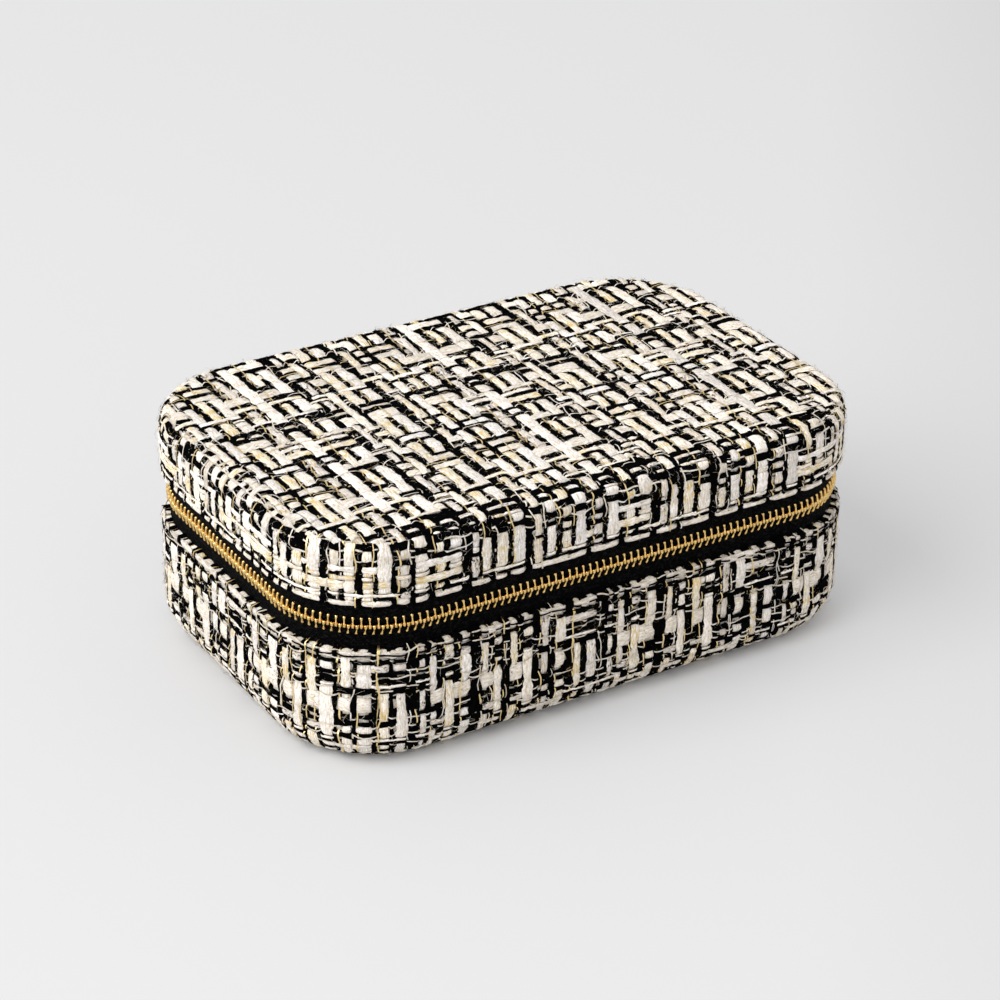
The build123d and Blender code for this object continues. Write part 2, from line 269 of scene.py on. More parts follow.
# A streak is noise drawn out along the yarn: its scale there is small, and Across sets it across.
ALONG_SCALE = 0.30
split = node(fibre_group, "ShaderNodeSeparateXYZ")
fibre_group.links.new(g_in.outputs["UV"], split.inputs[0])
across = math(fibre_group, "MULTIPLY", split.outputs[0], g_in.outputs["Across"])
along = math(fibre_group, "MULTIPLY", split.outputs[1], ALONG_SCALE)
joined = node(fibre_group, "ShaderNodeCombineXYZ")
for place, value in enumerate((across, along)):
    fibre_group.links.new(value, joined.inputs[place])
# A speck is noise of nearly even scale both ways, so it breaks the streaks up.
squeezed = node(fibre_group, "ShaderNodeVectorMath", operation="MULTIPLY")
squeezed.inputs[1].default_value = (1.5, 0.75, 1)
fibre_group.links.new(g_in.outputs["UV"], squeezed.inputs[0])
for label, source, settings in (
    ("Streak", joined, dict(Scale=1.0, Detail=3.0, Roughness=0.65)),
    ("Fuzz", joined, dict(Scale=3.0, Detail=4.0, Roughness=0.7, Distortion=1.5)),
    ("Speck", squeezed, dict(Scale=1.0, Detail=4.0, Roughness=0.62, Distortion=0.8)),
):
    noise = node(fibre_group, "ShaderNodeTexNoise", **settings)
    fibre_group.links.new(source.outputs[0], noise.inputs["Vector"])
    fibre_group.links.new(noise.outputs[0], g_out.inputs[label])
print("fibre streaks:", len(fibre_group.nodes), "nodes")

# %% Fine diagonal ribs of a woven tape
twill_group, g_in, g_out = new_group(
    "twill ribs",
    [("UV", "NodeSocketVector", None), ("Pitch", "NodeSocketFloat", 1)],
    ["Rib"],
)
# The ribs slant one way and then the other in bands, as in a herringbone tape.
BAND, SLANT, FULL_TURN = 1.5, 0.8, 6.2832
split = node(twill_group, "ShaderNodeSeparateXYZ")
twill_group.links.new(g_in.outputs["UV"], split.inputs[0])
slant = math(twill_group, "PINGPONG", split.outputs[0], BAND)
diagonal = math(twill_group, "ADD", math(twill_group, "MULTIPLY", slant, SLANT), split.outputs[1])
turns = math(twill_group, "DIVIDE", diagonal, g_in.outputs["Pitch"])
wave = math(twill_group, "SINE", math(twill_group, "MULTIPLY", turns, FULL_TURN))
twill_group.links.new(math(twill_group, "MULTIPLY_ADD", wave, 0.5, 0.5), g_out.inputs["Rib"])
print("twill ribs:", len(twill_group.nodes), "nodes")

# %% Soft uneven patches, for pile and for rubbed metal
patch_group, g_in, g_out = new_group(
    "uneven patches",
    [("Position", "NodeSocketVector", None), ("Size", "NodeSocketFloat", 0.01)],
    ["Patch", "Grain"],
)
scaled = node(patch_group, "ShaderNodeVectorMath", operation="SCALE")
patch_group.links.new(g_in.outputs["Position"], scaled.inputs[0])
scale = math(patch_group, "DIVIDE", 1.0, g_in.outputs["Size"])
patch_group.links.new(scale, scaled.inputs["Scale"])
for label, settings in (
    ("Patch", dict(Scale=1.0, Detail=2.0)),
    ("Grain", dict(Scale=22.0, Detail=3.0, Roughness=0.7)),
):
    noise = node(patch_group, "ShaderNodeTexNoise", **settings)
    patch_group.links.new(scaled.outputs[0], noise.inputs["Vector"])
    patch_group.links.new(noise.outputs[0], g_out.inputs[label])
print("uneven patches:", len(patch_group.nodes), "nodes")


# %% Starting a material
def new_material(name, roughness, metallic=0.0, specular=0.5):
    """A material with its Principled shader, whose own sockets hold what is the same all over."""
    material = bpy.data.materials.new(name)
    material.use_nodes = True
    shader = material.node_tree.nodes["Principled BSDF"]
    shader.inputs["Roughness"].default_value = roughness
    shader.inputs["Metallic"].default_value = metallic
    shader.inputs["Specular IOR Level"].default_value = specular
    return material, material.node_tree, shader


def use_group(tree, group, links, **values):
    """Places a node group, links the named inputs and sets the others."""
    made = tree.nodes.new("ShaderNodeGroup")
    made.node_tree = group
    for label, socket in links.items():
        tree.links.new(socket, made.inputs[label])
    for label, value in values.items():
        made.inputs[label].default_value = value
    return made


def fibres_of(tree, across):
    """The fibre streaks, read from the UV map: x across the yarn and y along it, in mm."""
    along = node(tree, "ShaderNodeUVMap", uv_map="along")
    return use_group(tree, fibre_group, {"UV": along.outputs[0]}, Across=across)


def patches_of(tree, size):
    """The uneven patches of that size, read from the piece's own coordinates."""
    place = node(tree, "ShaderNodeTexCoord")
    return use_group(tree, patch_group, {"Position": place.outputs["Object"]}, Size=size)


def two_tints(tree, shader, factor, low, high):
    """The base colour runs from low to high with factor."""
    tree.links.new(blend_colour(tree, factor, low, high), shader.inputs["Base Color"])


def bump(tree, shader, height, distance):
    """Feeds a height into the shader's normal through a Bump node."""
    made = node(tree, "ShaderNodeBump", Strength=1.0, Distance=distance)
    tree.links.new(height, made.inputs["Height"])
    tree.links.new(made.outputs[0], shader.inputs["Normal"])


# %% [markdown]
# ## Yarn
# The ribbons of such a tweed are flat bundles of fibres, cream on the whole, with single gold and
# dark fibres among them. Their colour could be painted on, but every yarn carries its own tint and
# its own shares of odd fibres as attributes of its points. So one material dresses all the pale
# yarns, and the same recipe with other numbers makes the black ones.

# %% Yarn: one recipe for every ribbon and thread of the tweed
GOLD_FIBRE, DARK_FIBRE = (0.70, 0.51, 0.19), (0.05, 0.042, 0.036)
# The crinkle paints shade into the hollows between fibres, darker and warmer than the fibres on
# top, which get a painted light that is a little cooler; the streaks are partly the fibres' own tone.
HOLLOW_SHADE, ON_TOP = (1.10, 0.98, 0.76), (0.98, 1.0, 1.07)


def yarn_material(name, across, low, high, roughness, relief, specular):
    """Fibre streaks and crinkles shade the yarn's tint and raise its surface.

    The painted shade runs from low in the hollows to high on the fibres, over the fibres' own
    streaky tone. The shares say how much of the yarn is gold fibre (x) and dark fibre (y): a fibre
    is gold where its streak lies under a limit that rises with the share, and a speck of it is dark
    where the speck noise does.
    """
    material, tree, shader = new_material(name, roughness, specular=specular)
    share = node(tree, "ShaderNodeAttribute", attribute_name="shares")
    share_of = node(tree, "ShaderNodeSeparateXYZ")
    tree.links.new(share.outputs["Vector"], share_of.inputs[0])
    tint = node(tree, "ShaderNodeAttribute", attribute_name="tint")
    fibres = fibres_of(tree, across)
    streak, speck = fibres.outputs["Streak"], fibres.outputs["Speck"]
    streaky, specky = math(tree, "MULTIPLY", streak, 0.55), math(tree, "MULTIPLY", speck, 0.45)
    # The crinkle mask is partly the fibres' own tone and partly painted shade in the hollows.
    crinkle_shade = ramp(tree, math(tree, "ADD", streaky, specky), 0.38, 0.58)
    hollow_shade, on_top = tuple(low * c for c in HOLLOW_SHADE), tuple(high * c for c in ON_TOP)
    shaded = node(tree, "ShaderNodeVectorMath", operation="MULTIPLY")
    tree.links.new(tint.outputs["Vector"], shaded.inputs[0])
    tree.links.new(blend_colour(tree, crinkle_shade, hollow_shade, on_top), shaded.inputs[1])
    gold_limit = math(tree, "MULTIPLY_ADD", share_of.outputs[0], 0.24, 0.32)
    gold = math(tree, "MULTIPLY", math(tree, "SUBTRACT", gold_limit, streak), 16.0, clamp=True)
    dark_limit = math(tree, "MULTIPLY_ADD", share_of.outputs[1], 0.26, 0.30)
    dark = math(tree, "MULTIPLY", math(tree, "SUBTRACT", dark_limit, speck), 12.0, clamp=True)
    with_gold = blend_colour(tree, gold, shaded.outputs[0], GOLD_FIBRE)
    two_tints(tree, shader, dark, with_gold, DARK_FIBRE)
    bump(tree, shader, math(tree, "ADD", streak, math(tree, "MULTIPLY", speck, 1.2)), relief)
    return material


ribbon_yarn = yarn_material("tweed ribbon", 3.2, 0.56, 1.07, 0.85, 0.30 * MM, 0.12)
black_yarn = yarn_material("tweed black yarn", 2.6, 0.2, 3.0, 0.9, 0.22 * MM, 0.006)
print("yarns:", ribbon_yarn.name, "and", black_yarn.name)

# %% [markdown]
# ## Gold thread, ground cloth and zip tape
# The gold thread is thin metal foil, so it is a metal with a faint crinkle. The ground cloth is
# only seen as dark gaps. The tape is a dull black weave with fine ribs, with glints painted into
# its colour in sparse specks and on the ribs' crests. Plain black would do from afar, but close by
# the specks and ribs are what makes it look woven.

# %% Gold thread, ground cloth and zip tape
gold_thread, tree, shader = new_material("tweed gold thread", 0.35, metallic=1.0)
shader.inputs["Base Color"].default_value = (0.86, 0.66, 0.32, 1)
bump(tree, shader, fibres_of(tree, 3.0).outputs["Fuzz"], 0.05 * MM)

ground_cloth, tree, shader = new_material("tweed ground", 0.95, specular=0.02)
patches = patches_of(tree, 2 * MM)
low, high = (0.0004, 0.0004, 0.0005), (0.0018, 0.0018, 0.0018)
two_tints(tree, shader, patches.outputs["Patch"], low, high)
bump(tree, shader, patches.outputs["Grain"], 0.1 * MM)

tape_cloth, tree, shader = new_material("zip tape cloth", 0.7, specular=0.03)
uv = node(tree, "ShaderNodeUVMap", uv_map="along")
rib = use_group(tree, twill_group, {"UV": uv.outputs[0]}, Pitch=0.9).outputs["Rib"]
speck = fibres_of(tree, 6.0).outputs["Speck"]
# Sparse specks, and the ribs' crests, are painted glints in the tape's colour.
glint_specks = math(tree, "MULTIPLY_ADD", speck, 7.0, -3.7)
painted_light = math(tree, "ADD", math(tree, "MULTIPLY", rib, 0.35), glint_specks)
painted_light = math(tree, "MULTIPLY", painted_light, 0.8, clamp=True)
two_tints(tree, shader, painted_light, (0.0003, 0.0003, 0.0004), (0.012, 0.012, 0.013))
bump(tree, shader, math(tree, "ADD", rib, math(tree, "MULTIPLY", speck, 1.5)), 0.20 * MM)
print("cloths:", gold_thread.name, ground_cloth.name, tape_cloth.name)

# %% [markdown]
# ## Velvet, plated metal, mirror and board
# Velvet shows its pile as brushed patches with a bright rim, which the Principled shader's sheen
# gives. Plated metal is worn bright in chance patches everywhere. On the teeth the points also
# carry a share that paints a highlight on the outward face and shade on the flanks, partly also
# the slider's rubbing.


# %% Velvet, plated metal, mirror and board
def velvet_material(name, shade, light):
    """Pile: brushed patches between two tints of one colour, a fine grain and a strong sheen."""
    material, tree, shader = new_material(name, 0.95, specular=0.1)
    patches = patches_of(tree, 9 * MM)
    two_tints(tree, shader, patches.outputs["Patch"], shade, light)
    bump(tree, shader, patches.outputs["Grain"], 0.12 * MM)
    shader.inputs["Sheen Weight"].default_value = 0.6
    shader.inputs["Sheen Roughness"].default_value = 0.35
    shader.inputs["Sheen Tint"].default_value = (1.0, 0.93, 0.82, 1)
    return material


velvet = velvet_material("champagne velvet", (0.36, 0.29, 0.21), (0.52, 0.44, 0.33))
velvet_rolls = velvet_material("champagne velvet rolls", (0.38, 0.31, 0.225), (0.56, 0.475, 0.36))


def metal_material(name, colour, worn_and_lit, roughness, relief, size, contrast, ridge=0.0):
    """Plated metal: rubbed patches run the colour to worn, and the grain makes the polish uneven.

    Where ridge isn't 0, the points' own share counts too, with that weight: a painted highlight on
    the outward face of a tooth and painted shade on its flanks, partly also the slider's rubbing.
    """
    material, tree, shader = new_material(name, roughness, metallic=1.0)
    patches = patches_of(tree, size)
    # The patches' noise spreads about a half, so contrast widens it about that.
    patch = patches.outputs["Patch"]
    rubbed_and_lit = math(tree, "MULTIPLY_ADD", patch, contrast, 0.5 - 0.5 * contrast, clamp=True)
    if ridge:
        # The points' share paints a highlight on a tooth's outward face and shade on its flanks.
        share = node(tree, "ShaderNodeAttribute", attribute_name="rubbed_and_lit")
        ridge_highlight = math(tree, "MULTIPLY", share.outputs["Fac"], ridge)
        in_patches = math(tree, "MULTIPLY", rubbed_and_lit, 1 - ridge)
        rubbed_and_lit = math(tree, "ADD", in_patches, ridge_highlight, clamp=True)
    two_tints(tree, shader, rubbed_and_lit, colour, worn_and_lit)
    rough = math(tree, "MULTIPLY", patches.outputs["Grain"], roughness * 0.6)
    tree.links.new(math(tree, "ADD", rough, roughness * 0.7), shader.inputs["Roughness"])
    bump(tree, shader, patches.outputs["Grain"], relief)
    return material


# The teeth's dark colour is partly painted shade for the flanks, and the bright one partly a painted
# highlight for the outward face.
gold_teeth = metal_material(
    "gold zip teeth", (0.46, 0.235, 0.035), (1.0, 0.72, 0.29),
    roughness=0.15, relief=0.03 * MM, size=0.6 * MM, contrast=4.0, ridge=0.45,
)
gold_slider = metal_material(
    "gold slider", (0.86, 0.57, 0.21), (0.93, 0.66, 0.30),
    roughness=0.18, relief=0.004 * MM, size=3 * MM, contrast=1.0,
)

mirror_glass, tree, shader = new_material("silvered glass", 0.02, metallic=1.0)
patch = patches_of(tree, 60 * MM).outputs["Patch"]
two_tints(tree, shader, patch, (0.86, 0.88, 0.89), (0.90, 0.91, 0.92))

board_card, tree, shader = new_material("board", 0.9)
grain = patches_of(tree, 5 * MM).outputs["Grain"]
two_tints(tree, shader, grain, (0.12, 0.10, 0.08), (0.22, 0.19, 0.15))
bump(tree, shader, grain, 0.05 * MM)
print("materials:", [m.name for m in bpy.data.materials])

# %% [markdown]
# ## The surface that the cloth lies on
# Cloth is easiest to lay out flat, so two maps carry flat cloth onto the case. `Shell.wrap` takes a
# sheet centred on the top or the bottom: inside the flat it stays flat, and past the round edge it
# turns down the wall. `Shell.band` takes a strip that runs round the wall. Both lift a point off
# the surface by a height, so yarns can pass over and under each other.

# %% The plan outline
ROUND_CORNER = CORNER * np.pi / 2
# The outline's stretches from the middle of the front towards -X: four straights, four corners,
# and the rest of the front.
STRETCHES = np.array(
    [STRAIGHT_X, ROUND_CORNER, 2 * STRAIGHT_Y, ROUND_CORNER, 2 * STRAIGHT_X, ROUND_CORNER]
    + [2 * STRAIGHT_Y, ROUND_CORNER, STRAIGHT_X]
)
# For each stretch: the way that it heads, its first outward normal, and the corner's centre or the
# straight's start, as shares of STRAIGHT_X and STRAIGHT_Y.
HEADS_X = np.array([-1.0, 0, 0, 0, 1, 0, 0, 0, -1])
HEADS_Y = np.array([0.0, 0, 1, 0, 0, 0, -1, 0, 0])
NORMAL_X = np.array([0, 0, -1.0, -1, 0, 0, 1, 1, 0])
NORMAL_Y = np.array([-1.0, -1, 0, 0, 1, 1, 0, 0, -1])
START_X = np.array([0.0, -1, -1, -1, -1, 1, 1, 1, 1])
START_Y = np.array([-1.0, -1, -1, 1, 1, 1, 1, -1, -1])


def outline(s):
    """A point of the plan outline and its outward normal at the distance s round it.

    s is cut into the stretches above. On a straight, the point goes on from its start by the way
    gone, and its normal stays. On a corner, the normal turns clockwise by the way gone over the
    radius, and the point lies one radius out along the normal.
    """
    starts = np.concatenate([[0], np.cumsum(STRETCHES[:-1])])
    s = np.mod(s, starts[-1] + STRAIGHT_X)
    stretch = np.clip(np.searchsorted(starts, s, side="right") - 1, 0, 8)
    into = s - starts[stretch]
    bend = stretch % 2 == 1
    turn = np.where(bend, into / CORNER, 0)
    nx = NORMAL_X[stretch] * np.cos(turn) + NORMAL_Y[stretch] * np.sin(turn)
    ny = NORMAL_Y[stretch] * np.cos(turn) - NORMAL_X[stretch] * np.sin(turn)
    gone = np.where(bend, 0, into)
    x = START_X[stretch] * STRAIGHT_X + nx * CORNER + gone * HEADS_X[stretch]
    y = START_Y[stretch] * STRAIGHT_Y + ny * CORNER + gone * HEADS_Y[stretch]
    return np.stack([x, y], -1), np.stack([nx, ny], -1)


PERIMETER = float(STRETCHES.sum())
print("round the case", round(PERIMETER / MM, 1), "mm")

# %% Maps from flat cloth to the case
# The cloth of the underside is pressed flat on the table, so no point goes below this height.
TABLE = 0.01 * MM
# At the rim the cloth turns in with this radius, and goes on under the rim by this much.
HEM_RADIUS, TURN_IN = 1.2 * MM, 1.5 * MM


class Shell:
    """The outside of lid or base: a flat, a round edge of radius edge, and a wall to the rim."""

    def __init__(self, flat_z, way, edge, rim_z):
        self.flat_z, self.way, self.edge = flat_z, way, edge
        self.turn = edge * np.pi / 2
        self.wall = abs(flat_z - rim_z) - edge - HEM_RADIUS
        self.reach = self.turn + self.wall + HEM_RADIUS * np.pi / 2 + TURN_IN

    def profile(self, drop):
        """Inset, depth below the flat and the normal's two parts, at the distance drop from it.

        A quarter circle of radius edge, the straight wall, then a quarter circle that turns the
        cloth in under the rim, and a short flat run inwards.
        """
        phi = np.clip(drop / self.edge, 0, np.pi / 2)
        down = np.clip(drop - self.turn, 0, self.wall)
        psi = np.clip((drop - self.turn - self.wall) / HEM_RADIUS, 0, np.pi / 2)
        under = np.clip(drop - self.turn - self.wall - HEM_RADIUS * np.pi / 2, 0, None)
        inset = self.edge * (1 - np.sin(phi)) + HEM_RADIUS * (1 - np.cos(psi)) + under
        depth = self.edge * (1 - np.cos(phi)) + down + HEM_RADIUS * np.sin(psi)
        outward = np.sin(phi) * np.cos(psi)
        upward = np.cos(phi) - np.sin(psi)
        return inset, depth, outward, upward

    def height(self, depth, upward, lift):
        """z of a point at that depth, raised by lift along the normal, and never in the table."""
        return np.maximum(self.flat_z + self.way * (upward * lift - depth), TABLE)

    def band(self, s, drop, lift):
        """A point of the strip round the wall: s round the outline, drop down from the flat.

        The outline's point moves in by the inset and out by the lift's part along its normal.
        """
        points, normals = outline(s)
        inset, depth, outward, upward = self.profile(drop)
        sideways = outward * lift - inset
        z = self.height(depth, upward, lift)
        return np.concatenate([points + normals * sideways[..., None], z[..., None]], -1)

    def wrap(self, u, v, lift):
        """A point of a sheet centred on the flat.

        Past the flat, its distance from the nearest corner's centre or straight gives its drop,
        and the profile turns it down in that direction.
        """
        ax, ay = np.abs(u) - STRAIGHT_X, np.abs(v) - STRAIGHT_Y
        ox, oy = np.maximum(ax, 0), np.maximum(ay, 0)
        reach = np.hypot(ox, oy)
        safe = np.where(reach > 0, reach, 1)
        nx, ny = np.sign(u) * ox / safe, np.sign(v) * oy / safe
        drop = np.maximum(reach - (CORNER - self.edge), 0)
        inset, depth, outward, upward = self.profile(drop)
        shift = np.where(drop > 0, CORNER - inset - reach + outward * lift, 0)
        return np.stack([u + nx * shift, v + ny * shift, self.height(depth, upward, lift)], -1)


lid_shell = Shell(HEIGHT, 1, TOP_EDGE, LID_RIM)
base_shell = Shell(0.0, -1, BOTTOM_EDGE, BASE_RIM)
print("walls", round(lid_shell.wall / MM, 1), "and", round(base_shell.wall / MM, 1), "mm high")

# %% [markdown]
# ## The draft of the tweed
# A weaver describes cloth by a draft: the order of the warp yarns, the order of the weft yarns, and
# which group of warps each weft passes over. Each row below gives a yarn's kind, its place in the
# repeat, its width in millimetres and its group of warps, or, for a weft, the groups that it
# covers. A painted pattern would look flat, so the picture comes from yarns over and under.

# %% Yarn kinds and the draft
YARNS = {
    # kind: tint, shares of gold and dark fibre, height of its round back and play of its line (mm)
    "wide": ((0.96, 0.905, 0.83), (0.14, 0.08), 0.42, 0.24),
    "white": ((0.94, 0.885, 0.805), (0.35, 0.18), 0.40, 0.28),
    "fuzzy": ((0.87, 0.81, 0.725), (0.26, 0.34), 0.48, 0.36),
    "hem": ((0.88, 0.82, 0.745), (0.12, 0.34), 0.60, 0.26),
    "thin": ((0.95, 0.895, 0.815), (0.10, 0.05), 0.26, 0.38),
    "cream": ((0.92, 0.85, 0.72), (0.74, 0.20), 0.36, 0.30),
    "beige": ((0.875, 0.80, 0.695), (0.62, 0.36), 0.36, 0.30),
    "grey": ((0.80, 0.74, 0.67), (0.45, 0.58), 0.34, 0.30),
    "black": ((0.0008, 0.0008, 0.0009), (0.0, 0.0), 0.34, 0.40),
    "flecked": ((0.90, 0.84, 0.755), (0.46, 0.36), 0.40, 0.30),
    "thread": ((0.78, 0.72, 0.63), (0.10, 0.1), 0.08, 1.10),
    "slit": ((0.0008, 0.0008, 0.0009), (0.0, 0.0), 0.06, 0.55),
    "gold": ((0.80, 0.58, 0.26), (1.0, 0.0), 0.08, 0.80),
}
# Kinds that lie on the cloth rather than in it, and the material slot of each kind.
LOOSE = ("thread", "gold", "slit")
SLOTS = {kind: {"black": 1, "slit": 1, "gold": 2}.get(kind, 0) for kind in YARNS}
YARN_MATERIALS = [ribbon_yarn, black_yarn, gold_thread]
print("yarn kinds", list(YARNS))

# %% The order of warps and wefts
WARP_REPEAT, WEFT_REPEAT = 65.4 * MM, 75.0 * MM
WARPS = [
    # kind, place (mm), width (mm), group; a star marks a black that binds the hems
    ("wide", 0.0, 4.1, "A"),
    ("black", 3.2, 1.5, "D*"),
    ("gold", 4.6, 0.4, "L"),
    ("cream", 6.2, 2.5, "D"),
    ("black", 8.4, 1.2, "D"),
    ("white", 11.4, 3.9, "B"),
    ("thread", 13.7, 0.4, "t"),
    ("black", 14.5, 2.1, "x*"),
    ("black", 16.4, 0.9, "E"),
    ("grey", 18.0, 2.3, "E"),
    ("black", 19.7, 1.1, "E"),
    ("gold", 20.3, 0.35, "L"),
    ("white", 21.6, 2.7, "C"),
    ("black", 24.0, 1.5, "C*"),
    ("thread", 24.6, 0.45, "t"),
    ("cream", 27.0, 3.5, "q"),
    ("black", 29.6, 1.2, "Q"),
    ("gold", 30.5, 0.45, "L"),
    ("wide", 32.8, 3.9, "Q"),
    ("black", 36.0, 2.2, "y*"),
    ("thread", 37.4, 0.45, "t"),
    ("beige", 39.3, 2.5, "R"),
    ("thread", 40.9, 0.4, "t"),
    ("black", 41.5, 1.3, "R"),
    ("white", 43.9, 3.1, "G"),
    ("gold", 45.6, 0.4, "L"),
    ("black", 46.5, 1.7, "z*"),
    ("cream", 49.1, 3.0, "s"),
    ("gold", 50.7, 0.35, "L"),
    ("black", 51.4, 1.2, "s"),
    ("wide", 54.1, 3.8, "S"),
    ("black", 56.8, 1.2, "T*"),
    ("gold", 58.1, 0.5, "L"),
    ("grey", 60.2, 2.7, "T"),
    ("thread", 61.9, 0.4, "t"),
    ("black", 62.6, 1.5, "T"),
]
WEFTS = [
    # kind, place (mm), width (mm), groups covered
    ("fuzzy", 0.0, 5.2, "DCRT"),
    ("black", 3.5, 2.2, "DBxCRyT"),
    ("thread", 4.9, 0.4, ""),
    ("cream", 6.2, 1.9, "DRyT"),
    ("black", 7.9, 1.1, "DECRyT"),
    ("thin", 9.3, 1.8, "AEQqGzSs"),
    ("black", 10.9, 1.2, "AEQqGzSs"),
    ("gold", 11.7, 0.35, ""),
    ("thin", 12.3, 0.9, "Ex"),
    ("cream", 14.7, 3.2, "x"),
    ("thread", 16.2, 0.4, ""),
    ("thin", 17.2, 1.1, "DBCRT"),
    ("black", 18.6, 1.4, "DBxCRyT"),
    ("thread", 19.8, 0.45, ""),
    ("black", 21.2, 2.3, "ABxEQqGzSs"),
    ("grey", 23.4, 1.4, "AQqE"),
    ("thread", 24.3, 0.4, ""),
    ("black", 25.3, 1.9, "AxEQqzSs"),
    ("fuzzy", 28.8, 5.2, "AEQqzSs"),
    ("grey", 33.4, 2.0, "DBxT"),
    ("gold", 34.9, 0.35, ""),
    ("thin", 36.4, 1.9, "DBCT"),
    ("black", 38.4, 1.3, "DBxCGRT"),
    ("thread", 39.5, 0.4, ""),
    ("cream", 41.0, 3.0, "DBCT"),
    ("black", 43.6, 1.3, "DBxCRyT"),
    ("thread", 44.6, 0.45, ""),
    ("black", 45.6, 1.0, "AQqSsR"),
    ("thin", 47.7, 2.5, "AEQqGSs"),
    ("black", 49.8, 1.2, "AEQqGzSs"),
    ("thread", 50.8, 0.4, ""),
    ("grey", 51.5, 1.3, "Ex"),
    ("white", 54.4, 3.3, "DBCR"),
    ("black", 57.1, 1.5, "DBxCRyT"),
    ("thread", 58.8, 0.45, ""),
    ("black", 60.4, 1.4, "EQqGzSs"),
    ("beige", 62.9, 3.2, "EQqGSs"),
    ("black", 65.4, 1.3, "EQqGzSs"),
    ("gold", 66.4, 0.35, ""),
    ("white", 67.9, 3.1, "EQqGSs"),
    ("black", 70.8, 1.8, "DExCGz"),
    ("thread", 72.0, 0.4, ""),
]

# %% Crossings
# Chances: of a crossing against the draft, of a starred black that misses a hem, of any other black
# that binds it, and of a loose thread that lies over a black yarn or over a ribbon.
STRAY, MISSED, BOUND_ANYWAY, OVER_BLACK, OVER_RIBBON = 0.03, 0.12, 0.3, 0.7, 0.2


def pick(table, repeat, phase, low, high):
    """The yarns of a repeated table whose places fall between low and high, as rows in order."""
    first, last = np.floor((low - phase) / repeat) - 1, np.ceil((high - phase) / repeat) + 1
    rows = []
    for turn in range(int(first), int(last)):
        for kind, place, width, groups in table:
            at = phase + turn * repeat + place * MM
            if low <= at <= high:
                rows.append((kind, at, width * MM, groups))
    return sorted(rows, key=lambda row: row[1])


def crossing_table(warps, wefts, rng):
    """True where the warp is on top. A weft covers its groups; a few stray crossings differ.

    A hem row is crossed only by the black yarns marked with a star, which bind it, and by a few
    other black ones. A slit is the dark middle of a hem's loops, so it stays on top between those.
    Loose threads lie over black yarns, and mostly under the ribbons.
    """
    warp_kind, weft_kind = np.array([w[0] for w in warps])[:, None], np.array([w[0] for w in wefts])
    on_top = np.array([[warp[3][0] not in weft[3] for weft in wefts] for warp in warps])
    on_top = on_top ^ (rng.random(on_top.shape) < STRAY)
    starred = np.array(["*" in warp[3] for warp in warps])[:, None]
    bound = starred & (rng.random(on_top.shape) > MISSED)
    bound = bound | ((warp_kind == "black") & (rng.random(on_top.shape) < BOUND_ANYWAY))
    on_top = np.where(weft_kind == "hem", bound, on_top)
    chance = rng.random(on_top.shape)
    loose_warp, loose_weft = np.isin(warp_kind, LOOSE), np.isin(weft_kind, LOOSE)
    warp_wins = np.where(weft_kind == "black", chance < OVER_BLACK, chance < OVER_RIBBON)
    weft_wins = np.where(warp_kind == "black", chance < OVER_BLACK, chance < OVER_RIBBON)
    on_top = np.where(loose_warp, warp_wins, on_top)
    on_top = np.where(loose_weft, ~weft_wins, on_top)
    return np.where(weft_kind == "slit", bound, on_top)


print(len(WARPS), "warps and", len(WEFTS), "wefts in the repeat")

# %% [markdown]
# ## One yarn as a surface
# A yarn of loose tweed is a soft flat ribbon. Its line wanders, it is widest in the middle of a
# float and pinched where it dives, and its edges roll down. A curve with a bevel could follow such
# a line, but its section couldn't change so freely. So two parameters describe a surface: the way
# along, with three stations at each crossing, and the way across, over a few fixed shares of its
# width. The height at a crossing depends only on the draft: high where it is on top, else low.

# %% Numbers that shape a yarn
# Lift of a yarn on top, of one below, and of the ground.
HIGH, LOW, GROUND = 0.05 * MM, -0.80 * MM, -1.15 * MM
# A crossing's three stations, in half widths of the crossed yarn. An outer one takes its level from
# its own crossing and the next in these shares. Within a long float all three rise (mm).
STATIONS, OWN, NEXT = np.array([-0.8, 0, 0.8]), 0.86, 0.14
FLOAT_RISE = np.array([0.08, 0.12, 0.08])
# An end is no shorter than SHORTEST, and no station lies within CLEAR times its length. Stations
# that would coincide are a HAIR apart.
SHORTEST, CLEAR, HAIR = 0.3 * MM, 1.2, 1e-7
# How much the lift varies from yarn to yarn and along one (mm). Loose threads lie higher by
# LOOSE_RISE and blacks lower by BLACK_SINKS (mm).
LIFT_VARIES, LIFT_WAVES, LOOSE_RISE, BLACK_SINKS = 0.05, 0.07, 0.22, 0.08
# A black spreads to BLACK_SPREADS times its width. A yarn is pinched to PINCHED of its width where
# it dives under, and to TIP of it at an end that goes down.
BLACK_SPREADS, PINCHED, TIP = 1.3, 0.86, 0.7
# Wavelengths (mm) of the lift, the width, the line of a ribbon and of a loose thread, the shade and
# the odd fibres.
LIFT_WAVE, WIDTH_WAVE, LINE_WAVE, LOOSE_WAVE, SHADE_WAVE, FIBRE_WAVE = 11, 10, 22, 13, 9, 8
# The shares of a yarn's half width at which it has points, by kind.
ACROSS_BLACK, ACROSS_LOOSE = np.array([-1, -0.5, 0.5, 1.0]), np.array([-1.0, 1.0])
ACROSS_RIBBON = np.array([-1, -0.66, 0, 0.66, 1.0])


def smooth_noise(rng, along, wavelength):
    """A sum of four sines of random phase and unlike wavelengths (mm), between about -1 and 1."""
    total = np.zeros_like(along)
    for step in range(4):
        turns = along / (wavelength * MM * (0.6 + 0.5 * step)) * 2 * np.pi
        total += np.sin(turns + rng.random() * 2 * np.pi)
    return total / 2.2


